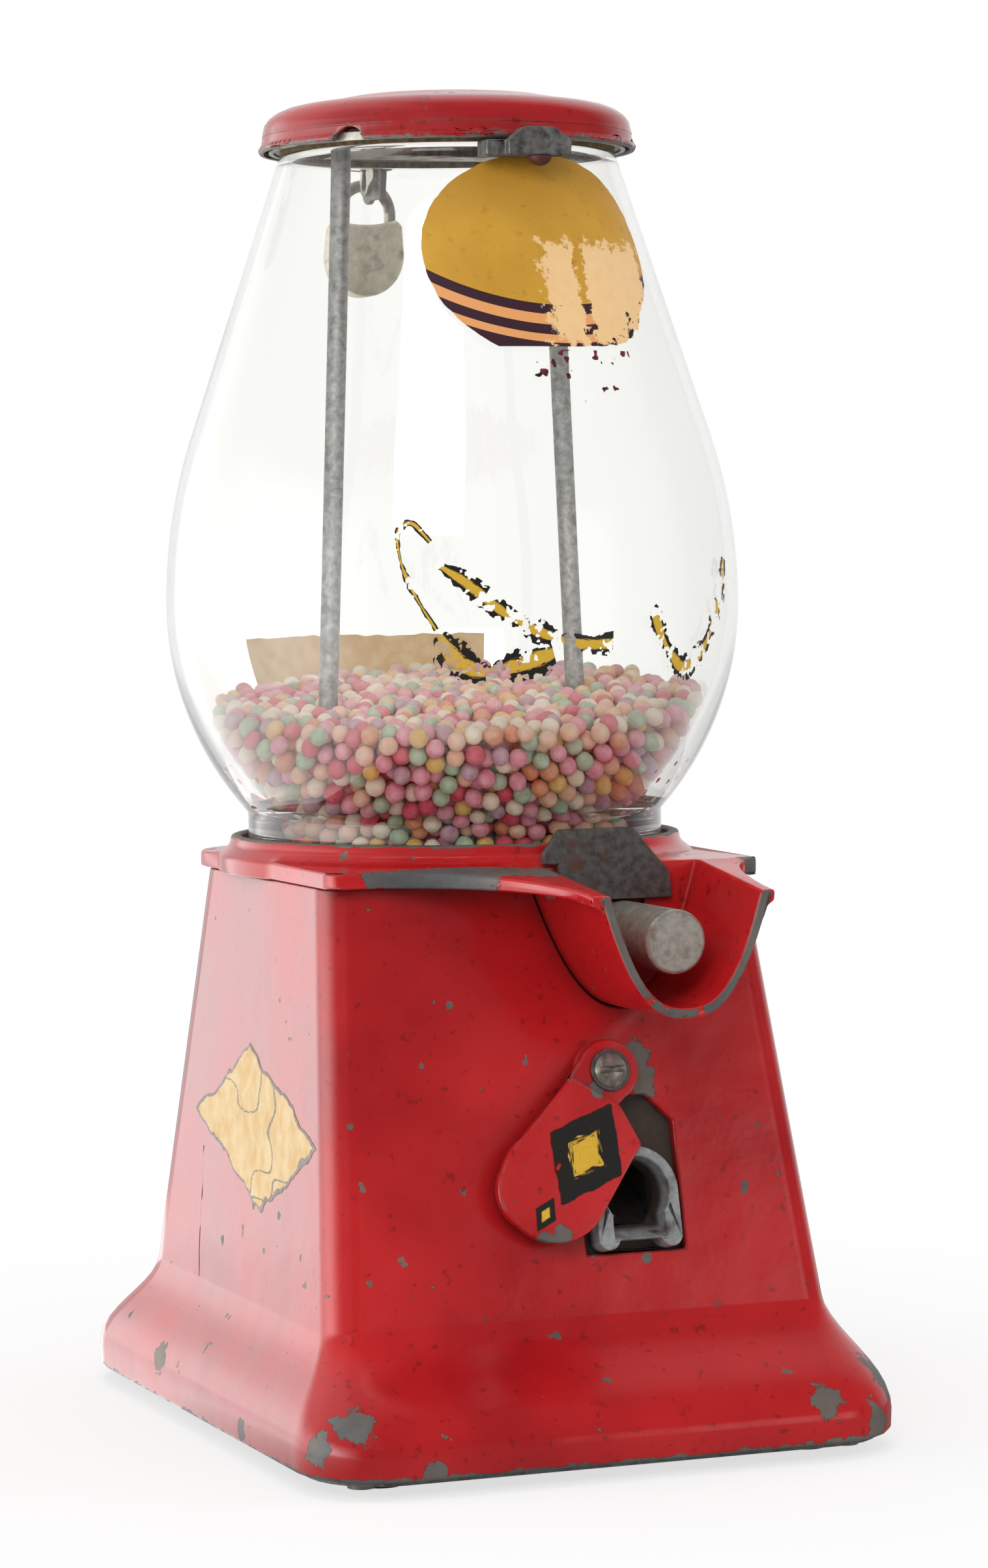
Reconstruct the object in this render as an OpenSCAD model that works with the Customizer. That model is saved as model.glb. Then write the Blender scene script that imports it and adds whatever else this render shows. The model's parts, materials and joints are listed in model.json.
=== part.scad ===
// Counter-top breath mint vendor: a glass globe on a cast base, a finger plunger in a scoop and a
// swinging flap over the delivery spout. Millimetres. Z is up, the front faces -Y, and X runs to the
// right as seen from the front. Y is taken from the globe axis and heights from the underside of the
// plinth; place() then moves the machine so that the origin is at the middle of its box, on the counter.

/* [Base casting] */
// Width of the plinth
plinth_width = 186.6; // [170:0.2:210]
// Reach of the plinth in front of the globe axis
plinth_front = 133.5; // [125:0.5:150]
// Reach of the plinth behind the globe axis
plinth_back = 112.5; // [105:0.5:130]
// Corner radius of the plinth at the front
plinth_front_radius = 26; // [15:1:36]
// Corner radius of the plinth at the back
plinth_back_radius = 36; // [20:1:45]
// Height at which the plinth starts to draw in
flare_start = 7; // [4:0.5:12]
// Height at which the plinth has run into the body
flare_end = 38; // [28:1:46]
// Height of the base casting
body_height = 163.5; // [158:0.5:172]
// Half width of the body, carried down to the underside
body_half_width = 83; // [78:0.5:88]
// Reach of the front face, carried down to the underside
body_front = 110.8; // [106:0.2:116]
// Reach of the back face, carried down to the underside
body_back = 94; // [90:0.5:100]
// Half width lost per millimetre of height
side_slope = 0.086; // [0.05:0.001:0.11]
// Depth lost per millimetre of height at the front
front_slope = 0.239; // [0.2:0.001:0.27]
// Depth lost per millimetre of height at the back
back_slope = 0.204; // [0.15:0.001:0.23]
// Corner radius of the body at the front
body_front_radius = 9.4; // [6:0.2:14]
// Corner radius of the body at the back
body_back_radius = 31; // [20:1:40]
// Wall thickness of the base casting
wall = 4; // [3:0.5:5]

/* [Underside] */
// Height of the rubber feet below the plinth
foot_height = 5; // [5:0.5:8]
// Radius of a rubber foot
foot_radius = 8; // [6:0.5:10]
// Thickness of the base plate
base_plate_thickness = 3; // [2:0.5:4]
// Height of the cash box
cash_box_height = 44; // [30:1:46]

/* [Top casting] */
// Thickness of the top plate
plate_thickness = 5; // [4:0.5:6]
// Half width of the top plate
plate_half_width = 69.5; // [66:0.5:72]
// Reach of the top plate in front of the globe axis
plate_front = 77; // [75:0.5:80]
// Reach of the top plate behind the globe axis
plate_back = 64; // [60:0.5:68]
// Thickness of the globe collar
collar_wall = 3.2; // [2.5:0.1:4.5]
// Height of the globe collar above the plate
collar_height = 6.1; // [4:0.1:8]

/* [Scoop and plunger] */
// Distance of the plunger to the right of the globe axis
plunger_x = 24; // [20:0.5:27]
// Depth of the plunger axis under the top plate
plunger_drop = 15.9; // [14.5:0.1:18]
// Radius of the plunger head
plunger_radius = 9.5; // [8.5:0.1:10]
// Reach of the plunger face in front of the globe axis
plunger_front = 115; // [108:0.5:120]
// Travel of the plunger
plunger_travel = 22; // [18:1:24]
// Reach of the scoop in front of the globe axis
scoop_front = 125; // [118:0.5:130]
// Half width of the scoop's outside at the level of the top plate
scoop_half_width = 28.5; // [26:0.5:30]
// Wall thickness of the scoop
scoop_wall = 3.2; // [2.6:0.2:4]
// Height of the scoop's bottom below the plunger axis
scoop_drop = 21.6; // [18:0.2:24]
// Slope of the scoop's apron in degrees
apron_slope = 7.1; // [3:0.1:9]

/* [Globe and lid] */
// Largest radius of the globe
globe_radius = 88.8; // [84:0.2:93]
// Radius of the globe's neck
neck_radius = 64.3; // [62:0.1:66]
// Height of the globe's widest line above its lower rim
globe_widest = 75.5; // [70:0.5:80]
// Height of the globe
globe_height = 213.5; // [205:0.5:220]
// Profile radius of the globe below its widest line
lower_arc = 97; // [92:1:104]
// Profile radius of the globe above its widest line
upper_arc = 164; // [150:1:180]
// Lean of the globe's straight upper wall in degrees
upper_lean = 18.3; // [16:0.1:19]
// Thickness of the glass
glass = 3.5; // [2.5:0.1:4.5]
// How much thicker the glass grows towards its foot
foot_glass = 6.5; // [4:0.1:8]
// Height of the lid's crown above its rim
lid_crown = 17.5; // [16:0.5:24]
// Thickness of the lid's sheet metal
lid_sheet = 1.2; // [0.8:0.1:1.6]
// Height of the mints over the hopper plate at the globe axis
mint_depth = 45; // [20:1:60]
// Depth of the hollows between the mounds of mints
heap_relief = 3.6; // [2:0.1:6]
// Half the spacing of the mounds of mints along a row
heap_pitch = 14; // [12:0.5:24]

/* [Rods and padlock] */
// Radius of a tie rod
rod_radius = 3; // [2.5:0.1:3.4]
// Distance of a rod from the globe axis at the underside of the plinth
rod_foot = 49.9; // [48:0.1:51]
// Inward lean of a rod in degrees
rod_lean = 2.29; // [1.8:0.01:2.4]
// Width of the padlock's body
padlock_width = 27.2; // [24:0.2:30]
// Thickness of the padlock's body
padlock_thickness = 9.5; // [8:0.5:11]
// Radius of the padlock's shackle wire
shackle_wire = 2; // [1.7:0.1:2.3]

/* [Spout and flap] */
// Distance of the spout to the right of the globe axis
spout_x = 18; // [14:0.5:20]
// Depth of the spout's middle under the top plate
spout_drop = 93.5; // [89.5:0.5:95.5]
// Half width of the spout's opening
spout_half_width = 10.4; // [9:0.2:11]
// Distance of the flap's pivot to the right of the globe axis
pivot_x = 13; // [10:0.5:16]
// Depth of the flap's pivot under the top plate
pivot_drop = 56.5; // [53.5:0.5:57.5]
// Reach of the flap below its pivot
flap_reach = 56.6; // [52:0.2:58]
// Half width of the flap
flap_half_width = 17.8; // [16:0.2:20]
// Angle at which the flap stands, swung aside, in degrees
flap_swing = 33; // [10:1:45]

/* [Hidden] */
$fn = 64;
// Clearances: a running fit, a sliding gap, and room round a rod
run = 0.05;
gap = 0.3;
rod_room = 0.5;

plate_z = body_height;
plate_top = plate_z + plate_thickness;
globe_set_back = (plinth_front - plinth_back) / 2;
face_tilt = atan(front_slope);
gasket = 2;
seat_z = plate_top + gasket;
globe_top = seat_z + globe_height;
widest_z = seat_z + globe_widest;
lower_centre = globe_radius - lower_arc;
upper_centre = globe_radius - upper_arc;
cone_z = widest_z + upper_arc * sin(upper_lean);
cone_r = upper_centre + upper_arc * cos(upper_lean);
neck_top = widest_z - sqrt(pow(lower_arc, 2) - pow(neck_radius - lower_centre, 2));
mouth_radius = cone_r - (globe_top - cone_z) * tan(upper_lean);
collar_inner = neck_radius + 2.2;
collar_outer = collar_inner + collar_wall;
skirt_radius = collar_outer + 4.2;
hopper_thickness = 1.5;
hopper_top = plate_top + hopper_thickness;

// The cap ring sits on a gasket on the globe's rim; the crossbar on it takes the tie rods
cap_z = globe_top + 1.6;
cap_thickness = 2;
cap_top = cap_z + cap_thickness;
cap_skirt = 0.7;
cap_inner = mouth_radius - glass - 2;
cap_outer = mouth_radius + 3.3;
bar_half_length = cap_outer - 3.6;
bar_half_width = 8;
bar_thickness = 3.5;
bar_drop = 5;
bar_top = cap_top - bar_drop + bar_thickness;
lid_radius = cap_outer + 0.6 + lid_sheet + 0.8;
lid_rim = cap_z - 0.8;
nut_height = 5;

// Mechanism under the plate
plunger_z = body_height - plunger_drop;
plunger_shoulder = 62;
shank_radius = 5;
slide_half_width = 10;
slide_x = plunger_x - 22;
slide_top = plate_z - gap;
slide_thickness = 9;
slide_floor = slide_top - slide_thickness;
slide_front = plunger_shoulder;
slide_length = 76;
pocket_radius = 7;
pocket_y = -22;
dog_length = 11;
bed_floor = 3.9;
bed_wall = 3.7;
bed_front = slide_front + 4;
bed_back = 40;
bed_z = slide_floor - gap - bed_floor;
lug_y = 22;
lug_thickness = 5;
wall_y = plunger_front - 40;
back_wall = 4;
scoop_low = plunger_z - scoop_drop;
scoop_power = 2.6;
apron_fillet = 8;
apron_thinning = 2.4;
under_slope = atan(tan(apron_slope) - apron_thinning / (scoop_front - plate_front));
rim_half = trough_half(plate_top - (scoop_front - plate_front) * tan(apron_slope));
coin_slot = 2.4;
coin_width = 21;
coin_x = plunger_x - 3;
screw_radius = 2;
mechanism_screws_at = [[slide_x - 19, -44], [slide_x - 19, 26], [plunger_x - 2, 35]];

// Padlock, hung behind the lid clear of the glass
padlock_x = -2.6;
padlock_height = padlock_width * 0.93;
shackle_bend = padlock_width / 2 - 3.8;
padlock_drop = 6;
hasp_z = cap_z - 5.2;
padlock_top = hasp_z - shackle_bend - 1;
padlock_low = padlock_top - padlock_height - padlock_drop;
padlock_y = globe_r(padlock_low) + padlock_thickness / 2 + 1.2;
hasp_sheet = 2;
hasp_hole = shackle_wire + 1.1;
ear_radius = hasp_hole + 3;
hasp_offset = 1.3;
// The ring's staple ends short of the padlock, in line with an inner hole in the lid's ear
staple_radius = shackle_wire + 2.4;
staple_y = padlock_y - padlock_thickness / 2 - staple_radius - 0.6;

// Delivery, seen square on to the sloping front face
spout_z = body_height - spout_drop;
pivot_z = body_height - pivot_drop;
spout_wall = 3;
spout_reach = 4.6;
spout_depth = 10;
spout_low = -7;
spout_foot = -14.8;
spout_lobe = 3.4;
window_top = 31;
chute_half_width = 10.5;
chute_half_height = 9;
chute_sheet = 1.2;
chute_run = front_at(spout_z) - spout_depth - pocket_y - plunger_travel;
chute_turn = atan((spout_x - slide_x) / chute_run);
chute_pitch = atan((bed_z - spout_z - 4.7) * cos(chute_turn) / chute_run);
boss_height = 2;
flap_thickness = 3;
flap_back = boss_height + 0.2;
cover_back = spout_reach + 0.4;
cover_thickness = 3.4;
washer = 0.9;
pivot_radius = 3;

// Places at a distance inside the four corners of the plinth
function corner_places(inset) =
    [for (side = [-1, 1]) for (y = [inset - plinth_front, plinth_back - inset])
        [side * (plinth_width / 2 - inset), y]];
foot_places = corner_places(26);
post_places = corner_places(17);

enamel = "#a81e22";
bare_iron = "#77787a";
steel = "#b9b8b2";

// The whole machine, moved to the middle of its box with the feet on the counter
module place() {
    translate([0, globe_set_back, foot_height]) children();
}

// A value between a and b
function mix(a, b, t) = a + (b - a) * t;

// Reach of the body's faces at height z
function side_at(z) = body_half_width - side_slope * z;
function front_at(z) = body_front - front_slope * z;
function back_at(z) = body_back - back_slope * z;

// Share of the plinth in the outline at height z: one below the flare, none above it, a wave between
function flare(z) =
    z <= flare_start ? 1
    : z >= flare_end ? 0
    : 0.5 + 0.5 * cos(180 * (z - flare_start) / (flare_end - flare_start));

// Rectangle of half width hw from -yf to yb, with corner radius rf at the front and rb at the back
function rounded(hw, yf, yb, rf, rb, steps = 6) =
    [for (corner = [[hw - rf, rf - yf, rf, -90], [hw - rb, yb - rb, rb, 0],
                    [rb - hw, yb - rb, rb, 90], [rf - hw, rf - yf, rf, 180]])
        for (i = [0:steps])
            let (a = corner[3] + 90 * i / steps)
            [corner[0] + corner[2] * cos(a), corner[1] + corner[2] * sin(a)]];

// Outline of the base casting at height z, drawn in by inset
function outline(z, inset) =
    let (h = max(z, 0), t = flare(h))
    [for (p = rounded(mix(side_at(h), plinth_width / 2, t) - inset,
                      mix(front_at(h), plinth_front, t) - inset,
                      mix(back_at(h), plinth_back, t) - inset,
                      mix(body_front_radius, plinth_front_radius, t) - inset,
                      mix(body_back_radius, plinth_back_radius, t) - inset))
        [p[0], p[1], z]];

// Solid through a stack of outlines with the same count of points
module loft(rings) {
    n = len(rings[0]);
    last = len(rings) - 1;
    polyhedron(
        points = [for (ring = rings) each ring],
        faces = concat(
            [[for (i = [0:n - 1]) i]],
            [[for (i = [n - 1:-1:0]) last * n + i]],
            [for (k = [0:last - 1]) for (i = [0:n - 1])
                each [[k * n + i, (k + 1) * n + i, k * n + (i + 1) % n],
                      [k * n + (i + 1) % n, (k + 1) * n + i, (k + 1) * n + (i + 1) % n]]]),
        convexity = 6);
}

flare_heights = [for (i = [0:10]) mix(flare_start, flare_end, i / 10)];

module body_solid() {
    loft(concat([outline(0, 1), outline(1.5, 0.2)], [for (z = flare_heights) outline(z, 0)],
                [outline(body_height, 0)]));
}

module body_hollow() {
    loft(concat([outline(-1, wall)], [for (z = flare_heights) outline(z, wall)],
                [outline(body_height + 1, wall)]));
}

// Frame on the sloping front face at height z: Y runs into the face and Z up along it
module on_face(x, z) {
    translate([x, -front_at(z), z]) rotate([-face_tilt, 0, 0]) children();
}

// Prism standing out along -Y from y = start to y = end in the frame of on_face()
module face_prism(start, end) {
    translate([0, -start, 0]) rotate([90, 0, 0]) linear_extrude(end - start) children();
}

// Outline of the window that the spout looks through: it runs on above the spout, with cut corners
module window(grow = 0) {
    hw = spout_half_width + spout_wall + 2.4 + grow;
    polygon([[-hw, spout_foot - 0.6 - grow], [hw, spout_foot - 0.6 - grow], [hw, 22.6],
             [hw / 2, window_top + grow], [-hw / 2, window_top + grow], [-hw, 22.6]]);
}

// Half width of the scoop's outside at height z: it grows with a root of the height, so that the round
// bottom and the leaning walls are one curve
function trough_half(z) =
    scoop_half_width * pow((z - scoop_low) / (plate_top - scoop_low), 1 / scoop_power);

// Trough section of the scoop in X and Z, inset for its hollow, up to the height top
module trough(inset, top) {
    low = scoop_low + inset;
    half = scoop_half_width - inset;
    translate([plunger_x - 1, low])
        polygon(concat([for (i = [-14:14])
                           [half * i / 14, (plate_top - low) * pow(abs(i) / 14, scoop_power)]],
                       top > plate_top ? [[half, top - low], [-half, top - low]] : []));
}

// Fillets between the underside of the apron and both walls of the scoop, in the plan of the apron. Each
// leaves the wall along its lean and turns level in an arc.
module scoop_fillets(grow = 0) {
    steep = 71;
    drop = apron_fillet * (1 - cos(steep));
    foot = trough_half(plate_z - 9.2);
    arc = [for (a = [steep:-steep / 8:0])
        [foot + apron_fillet * (sin(steep) - sin(a)) + grow, apron_fillet * (cos(a) - cos(steep)) - drop - grow]];
    intersection() {
        on_apron() translate([0, 0, -40]) linear_extrude(40) apron_plan();
        under_apron() translate([plunger_x - 1, 8, 0]) rotate([90, 0, 0])
            linear_extrude(scoop_front - plate_front + 8)
                for (side = [-1, 1]) polygon([for (p = concat([[foot - 2, 0.4], [foot - 2, -drop - grow]], arc,
                                                              [[arc[8][0], 0.4]])) [side * p[0], p[1]]]);
    }
}

module rod_axis(side) {
    translate([side * rod_foot, 0, 0]) rotate([0, -side * rod_lean, 0]) children();
}

// Bores for both tie rods
module rod_bores(r) {
    for (side = [-1, 1]) rod_axis(side) translate([0, 0, -20]) cylinder(r = r, h = globe_top + 60);
}

module base_casting() {
    color(enamel) place() difference() {
        union() {
            difference() {
                body_solid();
                body_hollow();
            }
            intersection() {
                body_solid();
                for (p = post_places)
                    translate([p[0], p[1], base_plate_thickness / 2]) cylinder(r = 6, h = 24);
            }
            on_face(pivot_x, pivot_z) rotate([90, 0, 0]) translate([0, 0, -wall + 0.6])
                cylinder(r = 9, h = boss_height + wall - 0.6);
        }
        for (p = post_places)
            translate([p[0], p[1], 0]) cylinder(r = screw_radius + run, h = 14);
        on_face(spout_x, spout_z) face_prism(-spout_depth, spout_depth) window();
        on_face(pivot_x, pivot_z) rotate([90, 0, 0]) translate([0, 0, -10])
            cylinder(r = pivot_radius + run, h = 20);
        translate([0, -40, 0]) rotate([90, 0, 0]) linear_extrude(scoop_front - 40) trough(-gap, plate_top);
        scoop_fillets(gap);
    }
}

module base_plate() {
    color("#2b2b2c") place() difference() {
        translate([0, 0, -base_plate_thickness / 2]) linear_extrude(base_plate_thickness)
            polygon([for (p = outline(0, wall + 0.6)) [p[0], p[1]]]);
        rod_bores(rod_radius + rod_room);
        for (p = post_places)
            translate([p[0], p[1], -10]) cylinder(r = screw_radius + 0.3, h = 20);
    }
}

module base_screws() {
    color(steel) place() for (p = post_places)
        translate([p[0], p[1], -base_plate_thickness / 2]) {
            translate([0, 0, -2]) cylinder(r = 4, h = 2);
            cylinder(r = screw_radius, h = 14);
        }
}

module rubber_feet() {
    color("#1c1b1a") place() for (p = foot_places)
        translate([p[0], p[1], -foot_height])
            cylinder(r1 = foot_radius - 0.8, r2 = foot_radius, h = foot_height - base_plate_thickness / 2);
}

module cash_box() {
    sheet = 1;
    box = [plinth_width - 106.6, plinth_front + plinth_back - 122, cash_box_height];
    color("#8d8a80") place() translate([0, -4, base_plate_thickness / 2]) difference() {
        translate([-box[0] / 2, -box[1] / 2, 0]) cube(box);
        translate([sheet - box[0] / 2, sheet - box[1] / 2, sheet])
            cube([box[0] - 2 * sheet, box[1] - 2 * sheet, box[2]]);
    }
}

// Plan of the top plate: a rounded rectangle, and a disc that swells past its sides under the collar
module plate_plan() {
    circle(skirt_radius);
    polygon(rounded(plate_half_width, plate_front, plate_back, 6, 26));
}

// Plan of the apron: both edges sweep from the plate's corners to the scoop as quarter ellipses
module apron_plan() {
    reach = scoop_front - plate_front;
    left = plunger_x - 1 - rim_half - 2.6;
    right = plunger_x - 1 + rim_half + 1.4;
    left_root = -plate_half_width + 7;
    right_root = plate_half_width - 2;
    sweep = [for (a = [0:10:90]) a];
    polygon(concat(
        [[right_root, 4], [left_root, 4]],
        [for (a = sweep) [mix(left_root, left, sin(a)), -reach * (1 - cos(a))]],
        [for (i = [9:-1:0]) [mix(right_root, right, sin(sweep[i])), -reach * (1 - cos(sweep[i]))]]));
}

// Planes of the apron's top and of its underside, falling forward from the plate's front edge
module on_apron() {
    translate([0, -plate_front, plate_top]) rotate([apron_slope, 0, 0]) children();
}

module under_apron() {
    translate([0, -plate_front, plate_z]) rotate([under_slope, 0, 0]) children();
}

// Plate over the coin groove, seen from the front: cut top corners and a hollow flank on the right
module coin_plate_outline() {
    foot = plunger_z + plunger_radius + 0.5;
    left = scoop_wall + 1 - trough_half(foot);
    top = plate_top + 10.5;
    polygon([[left, foot], [15.6, foot], [14.6, plate_top - 3], [12.6, plate_top - 0.6],
             [9, plate_top + 3.4], [3, top], [-21, top], [-26, plate_top + 3.4],
             [-26, plate_top + gap], [left, plate_top + gap]]);
}

module top_casting() {
    color(enamel) place() difference() {
        union() {
            translate([0, 0, plate_z]) linear_extrude(plate_thickness) plate_plan();
            intersection() {
                on_apron() translate([0, 0, -2 * plate_thickness]) linear_extrude(2 * plate_thickness)
                    apron_plan();
                under_apron() translate([-200, -200, 0]) cube([400, 400, 60]);
                translate([-200, -200, 0]) cube([400, 400, plate_top]);
            }
            rotate_extrude()
                polygon([[collar_inner - 4, plate_top - 2], [skirt_radius, plate_top - 2],
                         [skirt_radius, plate_top], [collar_outer + 0.5, plate_top + collar_height * 0.5],
                         [collar_outer, plate_top + collar_height],
                         [collar_inner, plate_top + collar_height], [collar_inner, plate_top],
                         [collar_inner - 4, plate_top]]);
            translate([0, -wall_y + back_wall, 0]) rotate([90, 0, 0])
                linear_extrude(scoop_front - wall_y + back_wall) trough(0, plate_top);
            scoop_fillets();
        }
        // everything of the scoop that stands over the apron
        on_apron() translate([-100, -80, 0]) cube([200, 80, 30]);
        // the hollow of the scoop, open at its front and top
        translate([0, -wall_y, 0]) rotate([90, 0, 0]) linear_extrude(80) trough(scoop_wall, plate_top + 20);
        // bore of the plunger and the groove that the coin falls through
        translate([plunger_x, 0, plunger_z]) rotate([90, 0, 0])
            cylinder(r = plunger_radius + run, h = scoop_front + 10);
        translate([coin_x - coin_width / 2, -wall_y - 1, plunger_z])
            cube([coin_width, coin_slot + 1, 60]);
        translate([slide_x, pocket_y, 0]) cylinder(r = pocket_radius + 2, h = 400);
        rod_bores(rod_radius + rod_room);
        for (p = mechanism_screws_at)
            translate([p[0], p[1], plate_z - 1]) cylinder(r = screw_radius + run, h = plate_thickness);
    }
}

module coin_plate() {
    color("#4b4947") place() translate([plunger_x, -wall_y, 0]) rotate([90, 0, 0])
        linear_extrude(2.5) coin_plate_outline();
}

module hopper_plate() {
    color(steel) place() difference() {
        translate([0, 0, plate_top]) cylinder(r = globe_inner(seat_z) - 1, h = hopper_thickness);
        translate([slide_x, pocket_y, 0]) cylinder(r = pocket_radius + 2, h = 400);
        rod_bores(rod_radius + rod_room);
    }
}

module globe_gasket() {
    color("#33302c") place() translate([0, 0, plate_top]) difference() {
        cylinder(r = neck_radius + 1.8, h = gasket);
        translate([0, 0, -1]) cylinder(r = neck_radius - glass - 0.6, h = gasket + 2);
    }
}

// Outer radius of the globe at height z: neck, lower arc, upper arc, straight wall
function globe_r(z) =
    z < neck_top ? neck_radius
    : z < widest_z ? lower_centre + sqrt(pow(lower_arc, 2) - pow(z - widest_z, 2))
    : z < cone_z ? upper_centre + sqrt(pow(upper_arc, 2) - pow(z - widest_z, 2))
    : cone_r - (z - cone_z) * tan(upper_lean);

// Inner radius of the globe: the glass grows thicker from the widest line down to its foot
function globe_inner(z) =
    globe_r(z) - glass - (z < widest_z ? foot_glass * pow((widest_z - z) / globe_widest, 2) : 0);

module globe() {
    heights = concat([seat_z, neck_top], [for (i = [1:12]) mix(neck_top, widest_z, i / 12)],
                     [for (i = [1:6]) mix(widest_z, cone_z, i / 6)], [globe_top]);
    n = len(heights) - 1;
    color("#dfe9e6", 0.35) place() rotate_extrude()
        polygon(concat([for (z = heights) [globe_r(z), z]],
                       [for (i = [n:-1:0]) [globe_inner(heights[i]), heights[i]]]));
}

// Height of the heap's slope, which rises to the back and to the right
function heap_slope(x, y) = hopper_top + mint_depth + x * tan(2.9) + y * tan(4.3);

// How far the heap lies back between its mounds, for two angles that run on by 180 degrees a mound
function hollow(a, b) = heap_relief * (0.5 - 0.5 * cos(a) * cos(b));

// The mints fill the lower globe up to a slope, in mounds along the glass and over the top
module mint_pellets() {
    low = hopper_top + gap;
    play = 0.9;
    edge = globe_inner(hopper_top + mint_depth) - play - heap_relief;
    mounds = round(180 * edge / heap_pitch / 57.3);
    turns = [for (i = [0:5 * mounds - 1]) 72 * i / mounds];
    wall_rings = [for (t = [0:12]) [for (a = turns)
        let (z = mix(low, heap_slope(edge * cos(a), edge * sin(a)) - heap_relief, t / 12),
             r = globe_inner(z) - play - hollow(mounds * a, 180 * (z - low) / heap_pitch))
        [r * cos(a), r * sin(a), z]]];
    top_rings = [for (t = [21:-1:1]) [for (a = turns)
        let (x = edge * t / 22 * cos(a), y = edge * t / 22 * sin(a))
        [x, y, heap_slope(x, y) - (t > 1 ? hollow(180 * x / heap_pitch, 180 * y / heap_pitch) : 0)]]];
    color("#d6a093") place() difference() {
        loft(concat(wall_rings, top_rings));
        rod_bores(rod_radius + rod_room);
    }
}

module lid_gasket() {
    color("#3a352f") place() translate([0, 0, globe_top]) difference() {
        cylinder(r = mouth_radius, h = cap_z - globe_top);
        translate([0, 0, -1]) cylinder(r = mouth_radius - glass - 0.5, h = 5);
    }
}

// Sheet ear that reaches back from points on a rim to an eye of radius r at the reach y
module ear(x, rim, y, r) {
    translate([x, 0, 0]) rotate([90, 0, 90]) linear_extrude(hasp_sheet) {
        polygon(concat(rim, [[y, hasp_z + r - 1], [y, hasp_z - r + 1]]));
        translate([y, hasp_z]) circle(r);
    }
}

// Bore along X for the padlock's shackle
module hasp_bore(y, r) {
    translate([padlock_x - 10, y, hasp_z]) rotate([0, 90, 0]) cylinder(r = r, h = 20);
}

module cap_ring() {
    color("#8f8e89") place() difference() {
        union() {
            rotate_extrude()
                polygon([[cap_inner, cap_z], [cap_outer - 1.6, cap_z], [cap_outer - 1.6, cap_z - cap_skirt],
                         [cap_outer, cap_z - cap_skirt], [cap_outer, cap_top], [cap_inner, cap_top]]);
            // the staple goes down behind the glass and out under the rim of the lid
            ear(padlock_x - hasp_offset - hasp_sheet,
                [[cap_outer - 2, lid_rim - 3.6], [cap_outer - 2, cap_z + 1], [cap_outer - 0.4, cap_z + 1],
                 [cap_outer - 0.4, lid_rim - 0.6], [lid_radius + 2, lid_rim - 0.6]],
                staple_y, staple_radius);
        }
        hasp_bore(staple_y, shackle_wire + 0.6);
    }
}

// Crossbar in the globe's mouth, bent up at both ends to lie on the cap ring
module crossbar() {
    foot = cap_inner - 1.5;
    half = [[foot, -bar_drop], [foot, 0], [bar_half_length, 0], [bar_half_length, bar_thickness],
            [foot - bar_thickness, bar_thickness], [foot - bar_thickness, bar_thickness - bar_drop]];
    color(steel) place() difference() {
        translate([0, bar_half_width, cap_top]) rotate([90, 0, 0]) linear_extrude(2 * bar_half_width)
            polygon(concat(half, [for (i = [len(half) - 1:-1:0]) [-half[i][0], half[i][1]]]));
        rod_bores(rod_radius + rod_room);
    }
}

module tie_rod(side) {
    low = -foot_height + 0.8;
    high = bar_top + nut_height + 2;
    color(steel) place() rod_axis(side) translate([0, 0, low]) cylinder(r = rod_radius, h = high - low);
}

module tie_rod_left() {
    tie_rod(-1);
}

module tie_rod_right() {
    tie_rod(1);
}

// A nut under the base plate and one on the crossbar for each rod
module rod_nuts() {
    color(steel) place() for (side = [-1, 1]) rod_axis(side) {
        translate([0, 0, (bar_top + gap) / cos(rod_lean)]) difference() {
            cylinder(r = 5.8, h = nut_height, $fn = 6);
            translate([0, 0, -1]) cylinder(r = rod_radius + run, h = nut_height + 2);
        }
        translate([0, 0, -base_plate_thickness / 2 - gap - 2.6]) difference() {
            cylinder(r = 5.8, h = 2.6, $fn = 6);
            translate([0, 0, -1]) cylinder(r = rod_radius + run, h = 5);
        }
    }
}

// Half section of the lid's crown: skirt, round shoulder and a flat dome
module lid_section(inset) {
    r = lid_radius - inset;
    top = lid_rim + lid_crown - inset;
    polygon(concat(
        [[0, lid_rim], [r, lid_rim], [r - 0.9, lid_rim + lid_crown * 0.38]],
        [for (a = [15:15:90]) [r - 0.9 - 13 * (1 - cos(a)), lid_rim + lid_crown * (0.38 + 0.42 * sin(a))]
                              - [0, inset * sin(a)]],
        [[r * 0.55, top - lid_crown * 0.06], [0, top]]));
}

module lid() {
    seat = cap_top + gap;
    color(enamel) place() difference() {
        union() {
            rotate_extrude() difference() {
                lid_section(0);
                lid_section(lid_sheet);
            }
            // rolled edge
            rotate_extrude() translate([lid_radius - 0.4, lid_rim + 1]) circle(1);
            rotate_extrude() polygon([[cap_outer - 2.4, seat], [lid_radius - lid_sheet - 0.2, seat],
                                      [lid_radius - lid_sheet / 2, seat + 0.8],
                                      [lid_radius - lid_sheet / 2, seat + 1.8], [cap_outer - 2.4, seat + 1.6]]);
            ear(padlock_x + hasp_offset,
                [[lid_radius + 1.2, hasp_z - ear_radius + 1], [lid_radius - lid_sheet / 2, lid_rim + 0.4],
                 [lid_radius - lid_sheet / 2, lid_rim + 6]],
                padlock_y, ear_radius);
        }
        hasp_bore(padlock_y, hasp_hole);
        hasp_bore(staple_y, shackle_wire + 0.6);
        // arched notch in the rim
        rotate([0, 0, lid_notch_at]) translate([0, -lid_radius + 6, lid_rim - 1]) rotate([90, 0, 0])
            cylinder(r = 5.2, h = 20);
    }
}

lid_notch_at = -52;
catch_x = 5;
catch_width = 20;
catch_z = lid_rim - 5.8;

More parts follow.
